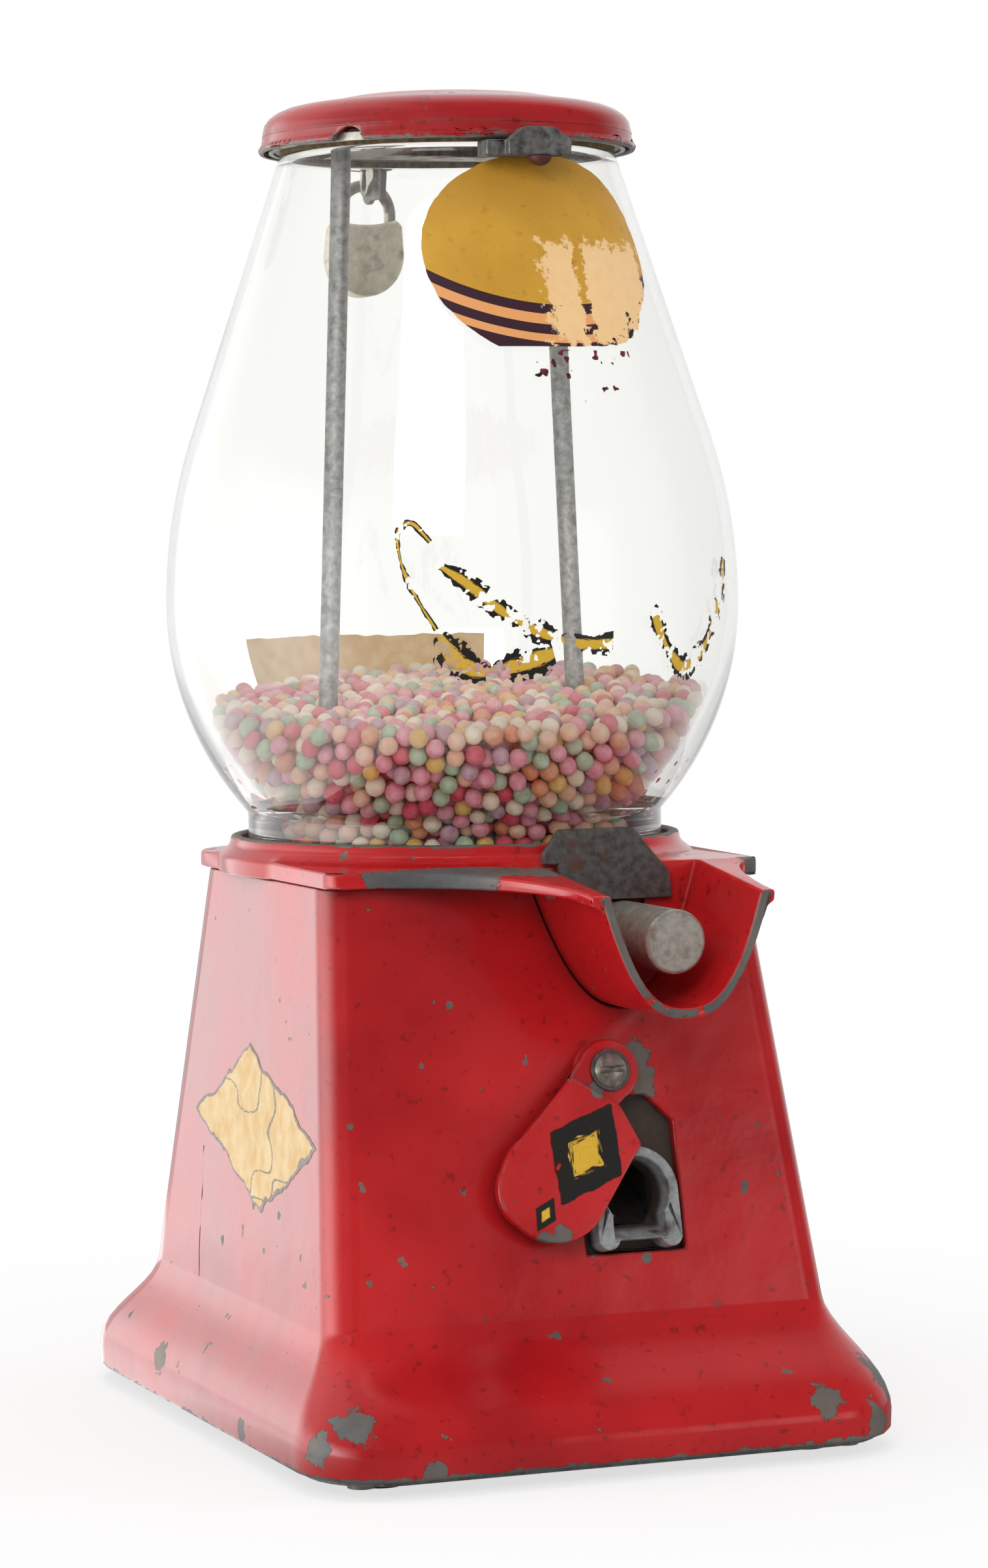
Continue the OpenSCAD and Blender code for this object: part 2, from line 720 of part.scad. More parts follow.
// Cast catch: a tongue in front of the lid's rim, on an arm that passes under it to the cap ring
module catch_tongue() {
    half = catch_width / 2;
    polygon([[-half, 0], [half, 0], [half + 0.4, 4.8], [half - 5, 8.6], [5 - half, 8.6], [-half, 4.2]]);
}

module lid_catch() {
    front = lid_radius + 6;
    arm_top = lid_rim - 1;
    color("#5c5b59") place() difference() {
        union() {
            translate([catch_x, -lid_radius - 0.8, catch_z]) rotate([90, 0, 0])
                linear_extrude(front - lid_radius - 0.8) catch_tongue();
            translate([catch_x - catch_width / 2 - 6, -lid_radius - 3, catch_z])
                cube([catch_width + 2, 12, arm_top - catch_z]);
            translate([catch_x - 7, -cap_outer + 0.6, catch_z + 2]) cube([13, 6, cap_z - catch_z - 2]);
        }
        // clear of the glass and of the ring's lip
        translate([0, 0, catch_z - 1]) cylinder(r = globe_r(catch_z) + 0.4, h = 20);
        translate([0, 0, cap_z - cap_skirt - 0.3]) cylinder(r = cap_outer + 0.1, h = cap_skirt + 0.3);
        translate([catch_x + 1, -front + 3, catch_z - 1]) cylinder(r = 2 + run, h = 7);
    }
}

module catch_rivet() {
    color("#5a2a26") place() translate([catch_x + 1, -lid_radius - 3, catch_z]) {
        cylinder(r = 2, h = 5.5);
        intersection() {
            translate([0, 0, 1]) sphere(3.9);
            translate([-6, -6, -5]) cube([12, 12, 5]);
        }
    }
}

module padlock_shackle() {
    bend_z = hasp_z - shackle_bend;
    color(steel) place() translate([padlock_x, padlock_y, bend_z]) {
        rotate([90, 0, 0]) rotate_extrude(angle = 180) translate([shackle_bend, 0]) circle(shackle_wire);
        for (side = [-1, 1])
            translate([side * shackle_bend, 0, -side * 2.5 - 9.5])
                cylinder(r = shackle_wire, h = 9.5 + side * 2.5);
    }
}

// Cast padlock body: a round shield with square shoulders and a hollow top edge
module padlock_body() {
    r = padlock_width / 2;
    color("#6f6c66") place() translate([padlock_x, padlock_y, padlock_top]) difference() {
        translate([0, padlock_thickness / 2, 0]) rotate([90, 0, 0]) linear_extrude(padlock_thickness)
            difference() {
                union() {
                    translate([0, r - padlock_height]) circle(r);
                    polygon([[-r, r - padlock_height], [r, r - padlock_height], [r - 0.6, -2.5], [r - 3, 0],
                             [3 - r, 0], [0.6 - r, -2.5]]);
                }
                translate([0, 2.8 * r]) circle(2.95 * r);
            }
        for (side = [-1, 1])
            translate([side * shackle_bend, 0, -16]) cylinder(r = shackle_wire + run, h = 30);
    }
}

module plunger() {
    color("#9a9791") place() translate([plunger_x, -plunger_front, plunger_z]) difference() {
        rotate([-90, 0, 0]) rotate_extrude() {
            back = plunger_front + lug_y + lug_thickness + gap;
            shoulder = plunger_front - plunger_shoulder;
            polygon([[0, 0], [plunger_radius - 0.8, 0], [plunger_radius, 0.8], [plunger_radius, shoulder],
                     [shank_radius, shoulder], [shank_radius, back], [shank_radius + 2.5, back],
                     [shank_radius + 2.5, back + 3.5], [shank_radius, back + 3.5], [shank_radius, back + 6],
                     [0, back + 6]]);
        }
        // notch that takes the coin
        translate([-20, plunger_front - wall_y, plunger_radius * 0.5]) cube([40, coin_slot + 0.2, 20]);
    }
}

// Return spring on the shank, between the slide's dog and the lug of the bed
module plunger_spring() {
    turns = 10;
    per_turn = 14;
    sides = 5;
    wire = 0.65;
    radius = 6.6;
    from = -plunger_shoulder + dog_length + wire + 0.2;
    to = lug_y - wire - 0.2;
    count = turns * per_turn;
    ring = [for (k = [0:count])
        [for (s = [0:sides - 1])
            let (a = 360 * k / per_turn, b = 360 * s / sides, r = radius + wire * cos(b))
            [r * cos(a), mix(from, to, k / count) + wire * sin(b), r * sin(a)]]];
    color(steel) place() translate([plunger_x, 0, plunger_z]) loft(ring);
}

// Measuring slide: a bar with a pocket for one portion, and a dog clamped on the plunger's shank
module dispensing_slide() {
    right = slide_x + slide_half_width;
    color("#b08d4f") place() difference() {
        union() {
            translate([slide_x - slide_half_width, -slide_front, slide_floor])
                cube([2 * slide_half_width, slide_length, slide_thickness]);
            translate([right - 1, -plunger_shoulder, slide_floor])
                cube([plunger_x + 7.5 - right + 1, dog_length, 6]);
            translate([right + bed_wall + 1.3, -plunger_shoulder, plunger_z - 6.6])
                cube([plunger_x + 7.5 - right - bed_wall - 1.3, dog_length, slide_floor - plunger_z + 12.6]);
        }
        translate([slide_x, pocket_y, 0]) cylinder(r = pocket_radius, h = 300);
        translate([plunger_x, 0, plunger_z]) rotate([90, 0, 0])
            cylinder(r = shank_radius + 0.01, h = 100);
    }
}

// Channel under the plate that the slide runs in, with the rear bearing of the plunger
module slide_bed() {
    left = slide_x - slide_half_width - gap;
    right = slide_x + slide_half_width + gap;
    length = bed_front + bed_back;
    height = plate_z - bed_z;
    rail_front = -plunger_shoulder + dog_length + plunger_travel + 5;
    color("#8a8883") place() difference() {
        union() {
            translate([left - bed_wall, -bed_front, bed_z])
                cube([right - left + bed_wall, length, bed_floor]);
            translate([left - bed_wall, -bed_front, bed_z]) cube([bed_wall, length, height]);
            translate([right, rail_front, bed_z]) cube([bed_wall, bed_back - rail_front, height]);
            translate([right + bed_wall - 0.5, lug_y, plunger_z - 8.5])
                cube([plunger_x + 9.5 - right - bed_wall + 0.5, lug_thickness, plate_z - plunger_z + 8.5]);
            for (p = mechanism_screws_at)
                translate([p[0] - 6.5, p[1] - 5, plate_z - 3]) cube([13, 10, 3]);
        }
        translate([slide_x - slide_half_width - gap, -100, slide_floor - gap])
            cube([2 * slide_half_width + 2 * gap, 200, 40]);
        translate([slide_x, pocket_y + plunger_travel, 0]) cylinder(r = pocket_radius + 1, h = 300);
        translate([plunger_x, 100, plunger_z]) rotate([90, 0, 0]) cylinder(r = shank_radius + run, h = 100);
        for (p = mechanism_screws_at)
            translate([p[0], p[1], plate_z - 10]) cylinder(r = screw_radius + 0.3, h = 20);
    }
}

module mechanism_screws() {
    color(steel) place() for (p = mechanism_screws_at)
        translate([p[0], p[1], plate_z - 3]) {
            translate([0, 0, -2.6]) cylinder(r = 3.6, h = 2.6);
            cylinder(r = screw_radius, h = 6);
        }
}

// Sheet metal tube that leads a portion from the bed down to the spout
module delivery_chute() {
    color("#9b9a94") place() difference() {
        translate([slide_x, pocket_y + plunger_travel, bed_z]) rotate([90 + chute_pitch, 0, chute_turn])
            translate([0, 0, -30]) linear_extrude(220) difference() {
                square([2 * chute_half_width, 2 * chute_half_height], center = true);
                square([2 * (chute_half_width - chute_sheet), 2 * (chute_half_height - chute_sheet)],
                       center = true);
            }
        translate([-100, -200, bed_z]) cube([200, 400, 100]);
        on_face(spout_x, spout_z) translate([-100, -300, -150]) cube([200, 300 + spout_depth + 0.2, 300]);
    }
}

// Outside of the spout: an arch on straight sides, with a lobe at each foot
module spout_outside() {
    r = spout_half_width + spout_wall;
    foot = spout_foot + spout_lobe - 0.6;
    translate([0, 2]) circle(r);
    translate([-r, foot]) square([2 * r, 2 - foot]);
    for (side = [-1, 1]) translate([side * (r - spout_lobe), spout_foot + spout_lobe]) circle(spout_lobe);
}

// Mouth of the spout: a circle with a flat floor
module spout_mouth() {
    r = spout_half_width;
    intersection() {
        translate([0, 2]) circle(r);
        translate([-r, spout_low]) square([2 * r, 2 * r + 4]);
    }
}

// Cast spout: a short arch through the window, on a plate that lies against the wall from inside
module spout() {
    inner_face = wall * cos(face_tilt);
    color(bare_iron) place() on_face(spout_x, spout_z) difference() {
        union() {
            face_prism(-spout_depth, spout_reach) spout_outside();
            face_prism(-inner_face - 2.2, -inner_face - 0.05) window(3);
        }
        face_prism(-spout_depth - 1, spout_reach + 1) spout_mouth();
        // the floor falls away to the lip
        translate([0, -spout_reach, spout_low - 5]) rotate([28, 0, 0])
            translate([-spout_half_width + 2, -10, 0]) cube([2 * spout_half_width - 4, 24, 6]);
    }
}

// Flap: a neck round the pivot, and a shield set forward of it by a bend so that it clears the spout.
// Its left edge runs straight from the neck to the round foot, and its right edge has a shoulder.
module flap() {
    neck = flap_half_width * 0.52;
    neck_low = -13;
    round_r = flap_half_width - 0.8;
    round_z = round_r - flap_reach;
    bend_z = -8.6;
    left_root = [-neck - 1.2, bend_z];
    right_root = [neck * 0.75, bend_z];
    color(enamel) place() on_face(pivot_x, pivot_z) rotate([0, flap_swing, 0]) difference() {
        union() {
            face_prism(flap_back, flap_back + flap_thickness) {
                circle(neck);
                polygon([[-neck, 0], left_root, [-neck - 1.6, neck_low], [neck + 1.6, neck_low],
                         right_root, [neck, 0]]);
            }
            face_prism(cover_back, cover_back + cover_thickness) {
                translate([-0.4, round_z]) circle(round_r);
                translate([-0.28 * flap_half_width, round_z - 4.4]) circle(round_r - 5);
                polygon([left_root, [-round_r - 0.4, round_z], [round_r - 0.4, round_z],
                         [flap_half_width, neck_low - 2.4], right_root]);
            }
        }
        rotate([90, 0, 0]) translate([0, 0, -1]) cylinder(r = pivot_radius + run, h = 20);
    }
}

module flap_washer() {
    color(steel) place() on_face(pivot_x, pivot_z) face_prism(flap_back + flap_thickness + 0.1,
                                                             flap_back + flap_thickness + 0.1 + washer)
        difference() {
            circle(6.2);
            circle(pivot_radius + run);
        }
}

module flap_screw() {
    seat = flap_back + flap_thickness + 0.1 + washer;
    color(bare_iron) place() on_face(pivot_x, pivot_z) rotate([90, 0, 0]) difference() {
        union() {
            translate([0, 0, -wall - 2]) cylinder(r = pivot_radius, h = wall + 2 + seat);
            intersection() {
                translate([0, 0, seat - 4.6]) sphere(7);
                translate([-10, -10, seat]) cube([20, 20, 5]);
            }
        }
        translate([-10, -0.7, seat + 1.2]) cube([20, 1.4, 5]);
    }
}

base_casting();
base_plate();
base_screws();
rubber_feet();
cash_box();
top_casting();
hopper_plate();
globe_gasket();
globe();
mint_pellets();
lid_gasket();
cap_ring();
crossbar();
tie_rod_left();
tie_rod_right();
rod_nuts();
lid();
lid_catch();
catch_rivet();
padlock_shackle();
padlock_body();
plunger();
plunger_spring();
dispensing_slide();
slide_bed();
mechanism_screws();
coin_plate();
delivery_chute();
spout();
flap();
flap_washer();
flap_screw();
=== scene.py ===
"""Looks of the breath mint vendor. Metres, Z up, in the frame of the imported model."""

import functools
import json
import math

import bmesh
import bpy
import numpy as np
from mathutils import Matrix, Vector
from mathutils.bvhtree import BVHTree

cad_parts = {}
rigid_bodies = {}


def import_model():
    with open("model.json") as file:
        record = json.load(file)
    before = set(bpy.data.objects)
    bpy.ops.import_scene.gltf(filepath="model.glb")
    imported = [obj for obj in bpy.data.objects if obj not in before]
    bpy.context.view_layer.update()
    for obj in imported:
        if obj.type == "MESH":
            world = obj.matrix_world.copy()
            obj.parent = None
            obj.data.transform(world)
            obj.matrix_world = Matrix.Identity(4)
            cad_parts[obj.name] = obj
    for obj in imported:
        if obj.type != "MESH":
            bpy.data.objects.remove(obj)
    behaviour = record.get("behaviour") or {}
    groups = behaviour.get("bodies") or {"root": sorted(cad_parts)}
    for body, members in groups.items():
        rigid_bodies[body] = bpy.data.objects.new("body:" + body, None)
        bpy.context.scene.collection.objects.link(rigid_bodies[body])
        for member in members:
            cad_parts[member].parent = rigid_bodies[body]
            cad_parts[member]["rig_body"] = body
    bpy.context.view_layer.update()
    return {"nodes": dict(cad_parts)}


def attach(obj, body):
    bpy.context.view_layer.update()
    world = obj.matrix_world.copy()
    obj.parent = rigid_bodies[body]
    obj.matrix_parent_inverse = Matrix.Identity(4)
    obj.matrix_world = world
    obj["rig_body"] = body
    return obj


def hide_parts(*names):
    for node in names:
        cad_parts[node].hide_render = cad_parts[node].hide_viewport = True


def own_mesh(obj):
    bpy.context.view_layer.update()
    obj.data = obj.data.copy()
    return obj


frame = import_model()
MM = 0.001

# Sizes repeated from the part's source, in millimetres from the globe axis and the plinth's underside
SET_BACK, FOOT = 10.5, 5.0
GLOBE_R, NECK_R, GLASS, FOOT_GLASS = 88.8, 64.3, 3.5, 6.5
SEAT_Z, GLOBE_TOP, WIDEST_Z = 170.5, 384.0, 246.0
LOWER_ARC, UPPER_ARC, UPPER_LEAN = 97.0, 164.0, math.radians(18.3)
FRONT_REACH, FRONT_SLOPE = 110.8, 0.239
FRONT_TILT = math.atan(FRONT_SLOPE)
SIDE_REACH, SIDE_SLOPE = 83.0, 0.086
HOPPER_TOP, HEAP_Z = 170.0, 215.0
ROD_FOOT_X, ROD_LEAN, ROD_ROOM = 49.9, 0.04, 3.4
PIVOT_X, PIVOT_Z, FLAP_SWING = 13.0, 107.0, math.radians(33)
FLAP_FACE = 8.4
SPRING_X, SPRING_Z, SPRING_FROM, SPRING_TO, SPRING_SEAT = 24.0, 147.6, -50.15, 21.15, 22.0

# The photograph's camera: turned to the left of the front, and its frame in pixels
CAMERA_TURN = math.radians(21.29)
CAMERA_RIGHT = (math.cos(CAMERA_TURN), -math.sin(CAMERA_TURN), 0.0)
PHOTO_WIDTH, PHOTO_HEIGHT, PHOTO_FOCAL, PHOTO_AXIS_X = 1517, 2408, 7033.95, 697.6


def placed(x, y, z):
    """Points of the part in metres, from millimetres off the globe axis and the plinth's underside."""
    x, y, z = np.broadcast_arrays(x, y, z)
    return np.stack([x, y + SET_BACK, z + FOOT], -1) * MM


def grain(u, v, size, seed):
    """Smooth random height over the plane, 0 to 1: random values on a square lattice of the given size,
    joined by cubic steps."""
    cells = 64
    lattice = np.random.default_rng(seed).random((cells, cells))
    u, v = np.broadcast_arrays(np.asarray(u, float) / size, np.asarray(v, float) / size)
    i, j = np.floor(u).astype(int), np.floor(v).astype(int)
    s, t = u - i, v - j
    s, t = s * s * (3 - 2 * s), t * t * (3 - 2 * t)

    def at(a, b):
        return lattice[a % cells, b % cells]

    low = at(i, j) * (1 - s) + at(i + 1, j) * s
    high = at(i, j + 1) * (1 - s) + at(i + 1, j + 1) * s
    return low * (1 - t) + high * t


# Pieces

def finish_piece(name, mesh, material, body):
    """Puts a mesh in the scene as a piece that rides on a body, with the given material."""
    mesh.materials.clear()
    mesh.materials.append(material)
    piece = bpy.data.objects.new(name, mesh)
    bpy.context.scene.collection.objects.link(piece)
    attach(piece, body)
    return piece


def surface(name, points, material, body, wrap=(False, False), keep=None, plan=None):
    """A grid of points, rows by columns, as a sheet of quads. wrap joins the last row or column to the
    first, keep leaves out cells, and plan gives each point its place in the piece's UV map."""
    rows, columns = points.shape[:2]
    r = np.arange(rows if wrap[0] else rows - 1)
    c = np.arange(columns if wrap[1] else columns - 1)
    i, j = np.meshgrid(r, c, indexing="ij")
    i2, j2 = (i + 1) % rows, (j + 1) % columns
    quads = np.stack([i * columns + j, i * columns + j2, i2 * columns + j2, i2 * columns + j], -1)
    quads = quads.reshape(-1, 4) if keep is None else quads[keep]
    used, corners = np.unique(quads, return_inverse=True)
    mesh = bpy.data.meshes.new(name)
    mesh.vertices.add(len(used))
    mesh.vertices.foreach_set("co", points.reshape(-1, 3)[used].astype(np.float32).ravel())
    mesh.loops.add(corners.size)
    mesh.loops.foreach_set("vertex_index", corners.astype(np.int32).ravel())
    mesh.polygons.add(len(quads))
    mesh.polygons.foreach_set("loop_start", np.arange(0, corners.size, 4, dtype=np.int32))
    mesh.update(calc_edges=True)
    mesh.shade_smooth()
    if plan is not None:
        layer = mesh.uv_layers.new(name="plan")
        spread = plan.reshape(-1, 2)[used][corners.ravel()]
        layer.data.foreach_set("uv", spread.astype(np.float32).ravel())
    mesh.validate()
    return finish_piece(name, mesh, material, body)


def dressed(node, material, rounding=0.5, sharp=35, flat=True):
    """A CAD node's own shape with its sharp edges rounded over by a width in millimetres, and normals that
    lean to the larger faces. Corners too sharp to round keep their place. flat joins level triangles,
    which suits all shapes but those with holes close together in one face or a low crown."""
    merge, level, stray = 0.003 * MM, math.radians(0.3), 0.6 * rounding * MM
    source = frame["nodes"][node]
    shape = bmesh.new()
    shape.from_mesh(source.data)
    bmesh.ops.remove_doubles(shape, verts=shape.verts, dist=merge)
    skin = BVHTree.FromBMesh(shape)
    if flat:
        bmesh.ops.dissolve_limit(shape, angle_limit=level, verts=shape.verts, edges=shape.edges)
    mesh = bpy.data.meshes.new(node + "_finish")
    shape.to_mesh(mesh)
    shape.free()
    piece = finish_piece(node + "_finish", mesh, material, source["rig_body"])
    bevel = piece.modifiers.new("rounding", "BEVEL")
    bevel.width = rounding * MM
    bevel.segments = 2
    bevel.limit_method = "ANGLE"
    bevel.angle_limit = math.radians(sharp)
    bevel.use_clamp_overlap = False
    rounded = bpy.data.meshes.new_from_object(piece.evaluated_get(bpy.context.evaluated_depsgraph_get()))
    rounded.name = node + "_finish"
    for vertex in rounded.vertices:
        near, _, _, away = skin.find_nearest(vertex.co)
        if away > stray:
            vertex.co = near
    rounded.shade_smooth()
    piece.modifiers.clear()
    piece.data = rounded
    normals = piece.modifiers.new("normals", "WEIGHTED_NORMAL")
    normals.keep_sharp = True
    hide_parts(node)
    return piece


def globe_radius(z):
    """Outer radius of the globe: a straight neck, an arc up to the widest line, a flatter arc above it,
    and a cone to the mouth."""
    lower, upper = GLOBE_R - LOWER_ARC, GLOBE_R - UPPER_ARC
    neck_top = WIDEST_Z - math.sqrt(LOWER_ARC ** 2 - (NECK_R - lower) ** 2)
    cone_z = WIDEST_Z + UPPER_ARC * math.sin(UPPER_LEAN)
    cone_r = upper + UPPER_ARC * math.cos(UPPER_LEAN)
    z = np.asarray(z, float)
    h2 = (z - WIDEST_Z) ** 2
    below = lower + np.sqrt(np.maximum(LOWER_ARC ** 2 - h2, 0))
    above = upper + np.sqrt(np.maximum(UPPER_ARC ** 2 - h2, 0))
    return np.where(z < neck_top, NECK_R, np.where(z < WIDEST_Z, below, np.where(
        z < cone_z, above, cone_r - (z - cone_z) * math.tan(UPPER_LEAN))))


def globe_inner(z):
    """Inner radius of the globe: below its widest line the glass thickens with the square of the depth."""
    depth = np.clip((WIDEST_Z - np.asarray(z, float)) / (WIDEST_Z - SEAT_Z), 0, 1)
    return globe_radius(z) - GLASS - FOOT_GLASS * depth ** 2


def on_globe(arc, z, lift):
    """Points on the globe: arc is the angle to the right of the front in degrees."""
    r = globe_radius(z) + lift
    a = np.radians(arc)
    return placed(r * np.sin(a), -r * np.cos(a), z)


def on_side(y, z, lift):
    """Points on the base's left wall, which leans in with height."""
    return placed(-(SIDE_REACH - SIDE_SLOPE * z) - lift, y, z)


def on_flap(across, along, out):
    """Points over the flap's plane: across and along from its pivot, out from the front face. The plane
    is turned by the flap's swing and then leant back with the front face."""
    c, s = math.cos(FLAP_SWING), math.sin(FLAP_SWING)
    x, w = across * c + along * s, -across * s + along * c
    ct, st = math.cos(FRONT_TILT), math.sin(FRONT_TILT)
    y = -out * ct + w * st
    z = out * st + w * ct
    return placed(PIVOT_X + x, y - (FRONT_REACH - FRONT_SLOPE * PIVOT_Z), PIVOT_Z + z)


# Materials

def linear(colour):
    """Linear RGBA from an sRGB hex value."""
    values = [int(colour[i:i + 2], 16) / 255 for i in (1, 3, 5)]
    return [v / 12.92 if v <= 0.04045 else ((v + 0.055) / 1.055) ** 2.4 for v in values] + [1.0]


def fill(made, feeds):
    """Fills a node's inputs from values, or links them to other nodes' sockets."""
    for key, value in feeds.items():
        if isinstance(value, bpy.types.NodeSocket):
            made.id_data.links.new(value, made.inputs[key])
        else:
            made.inputs[key].default_value = value


def add(tree, kind, feeds=None, out=None, **settings):
    """Adds a shader node, sets its properties, fills its inputs, and gives the output socket of that name,
    or else the first one in use."""
    made = tree.nodes.new("ShaderNode" + kind)
    for name, value in settings.items():
        setattr(made, name, value)
    fill(made, feeds or {})
    return made.outputs[out] if out else next(socket for socket in made.outputs if socket.enabled)


def blank(name, **constants):
    """A new material, its shader with constants on its own sockets, and add for its node tree."""
    material = bpy.data.materials.new(name)
    material.use_nodes = True
    shader = material.node_tree.nodes["Principled BSDF"]
    fill(shader, {key.replace("_", " "): value for key, value in constants.items()})
    return material, shader, functools.partial(add, material.node_tree)


def enamel_wear(node, here, edge, spots, bands):
    """How worn the enamel is: along edges, where the rounded normal leaves the face's own, at worn spots
    (x, y, z, radius), and in worn bands (axis, where the wear starts, where it is full)."""
    round_normal = node("Bevel", {"Radius": 2.2 * MM}, samples=6)
    flat_normal = node("NewGeometry", out="Normal")
    agree = node("VectorMath", {0: round_normal, 1: flat_normal}, operation="DOT_PRODUCT")
    worn = node("MapRange", {"Value": agree, "From Min": 0.995, "From Max": 0.8, "To Max": 0.2 * edge})
    for x, y, z, radius in spots:
        away = node("VectorMath", {0: here, 1: Vector(placed(x, y, z))}, operation="DISTANCE")
        near = node("MapRange", {"Value": away, "From Min": 0.25 * radius * MM, "From Max": radius * MM,
                                 "To Min": 0.4, "To Max": 0.0})
        worn = node("Math", {0: worn, 1: near}, operation="MAXIMUM")
    for axis, start, full in bands:
        shift = dict(X=0.0, Y=SET_BACK, Z=FOOT)[axis]
        along = node("SeparateXYZ", {0: here}, axis)
        rubbed = node("MapRange", {"Value": along, "From Min": (start + shift) * MM,
                                   "From Max": (full + shift) * MM, "To Max": 0.34})
        worn = node("Math", {0: worn, 1: rubbed}, operation="MAXIMUM")
    return worn


def enamel_flakes(node, here, pit, bare):
    """Wear in small ragged flakes: of cells about 11 mm apart, a bare share holds a flake at its middle."""
    cells = node("TexVoronoi", {"Vector": here, "Scale": 1 / (11 * MM)}).node.outputs
    lot = node("SeparateColor", {0: cells["Color"]}, "Red")
    size = node("MapRange", {"Value": lot, "From Min": 1 - bare, "From Max": 1.0, "To Max": 0.17})
    ragged = node("Math", {0: pit, 1: 0.6, 2: cells["Distance"]}, operation="MULTIPLY_ADD")
    ragged = node("Math", {0: ragged, 1: 0.28}, operation="SUBTRACT")
    inside = node("Math", {0: ragged, 1: size}, operation="LESS_THAN")
    return node("Math", {0: inside, 1: 0.4}, operation="MULTIPLY")


def enamel(name, edge=1.0, free=0.0, spots=(), bands=(), deep="#96151a", bright="#c01e21", bare=0.28):
    """Stove enamel on cast iron: deep glossy red with a faint orange peel, grime and painted shade that
    darken the corners and recesses, and chips with a dark brink down to grey iron and cream primer, where
    it is worn. edge scales the wear of edges, free adds wear all over, and bare is the share of places with
    a small flake."""
    material, shader, node = blank(name, IOR=1.55)
    here = node("TexCoord", out="Object")
    cloud = node("TexNoise", {"Vector": here, "Scale": 1 / (55 * MM), "Detail": 3.0})
    flake = node("TexNoise", {"Vector": here, "Scale": 1 / (10 * MM), "Detail": 8.0, "Roughness": 0.68})
    pit = node("TexNoise", {"Vector": here, "Scale": 1 / (3.2 * MM), "Detail": 2.0})
    peel = node("TexNoise", {"Vector": here, "Scale": 1 / (2.4 * MM), "Detail": 1.0})
    swell = node("TexNoise", {"Vector": here, "Scale": 1 / (16 * MM), "Detail": 1.0})

    worn = enamel_wear(node, here, edge, spots, bands)
    worn = node("Math", {0: worn, 1: enamel_flakes(node, here, pit, bare)}, operation="MAXIMUM")
    field = node("Math", {0: pit, 1: 0.35, 2: flake}, operation="MULTIPLY_ADD")
    field = node("Math", {0: field, 1: worn}, operation="ADD")
    field = node("Math", {0: field, 1: free}, operation="ADD")
    chip = node("MapRange", {"Value": field, "From Min": 0.885, "From Max": 0.9})
    brink = node("MapRange", {"Value": field, "From Min": 0.862, "From Max": 0.885})

    fired = node("MapRange", {"Value": cloud, "From Min": 0.27, "From Max": 0.7})
    red = node("Mix", {"Factor": fired, "A": linear(deep), "B": linear(bright)}, data_type="RGBA")
    speck = node("MapRange", {"Value": pit, "From Min": 0.36, "From Max": 0.28, "To Max": 0.55})
    red = node("Mix", {"Factor": speck, "A": red, "B": linear("#6a1512")}, data_type="RGBA")
    # Painted shade: ambient occlusion darkens corners and recesses toward dark brown, as grime and as shade;
    # the same mask dulls the gloss.
    shelter = node("AmbientOcclusion", {"Distance": 9 * MM}, "AO", samples=6)
    grime_and_painted_shade = node("MapRange", {"Value": shelter, "From Min": 0.75, "From Max": 0.2, "To Max": 0.7})
    red = node("Mix", {"Factor": grime_and_painted_shade, "A": red, "B": linear("#2e1310")}, data_type="RGBA")
    red = node("Mix", {"Factor": brink, "A": red, "B": linear("#6b2b25")}, data_type="RGBA")
    iron = node("Mix", {"Factor": flake, "A": linear("#2e2e2f"), "B": linear("#808181")}, data_type="RGBA")
    primer = node("MapRange", {"Value": cloud, "From Min": 0.4, "From Max": 0.62, "To Max": 0.4})
    iron = node("Mix", {"Factor": primer, "A": iron, "B": linear("#9a8672")}, data_type="RGBA")
    colour = node("Mix", {"Factor": chip, "A": red, "B": iron}, data_type="RGBA")

    gloss = node("MapRange", {"Value": cloud, "From Min": 0.3, "From Max": 0.7, "To Min": 0.1,
                              "To Max": 0.22})
    dull = node("Math", {0: chip, 1: grime_and_painted_shade}, operation="MAXIMUM")
    roughness = node("Mix", {"Factor": dull, "A": gloss, "B": 0.55})
    metallic = node("Math", {0: chip, 1: 0.35}, operation="MULTIPLY")
    skin = node("Math", {0: peel, 1: 0.1, 2: swell}, operation="MULTIPLY_ADD")
    relief = node("Math", {0: chip, 1: -0.8, 2: skin}, operation="MULTIPLY_ADD")
    bump = node("Bump", {"Height": relief, "Strength": 0.5, "Distance": 0.35 * MM})
    fill(shader, {"Base Color": colour, "Roughness": roughness, "Metallic": metallic, "Normal": bump})
    return material


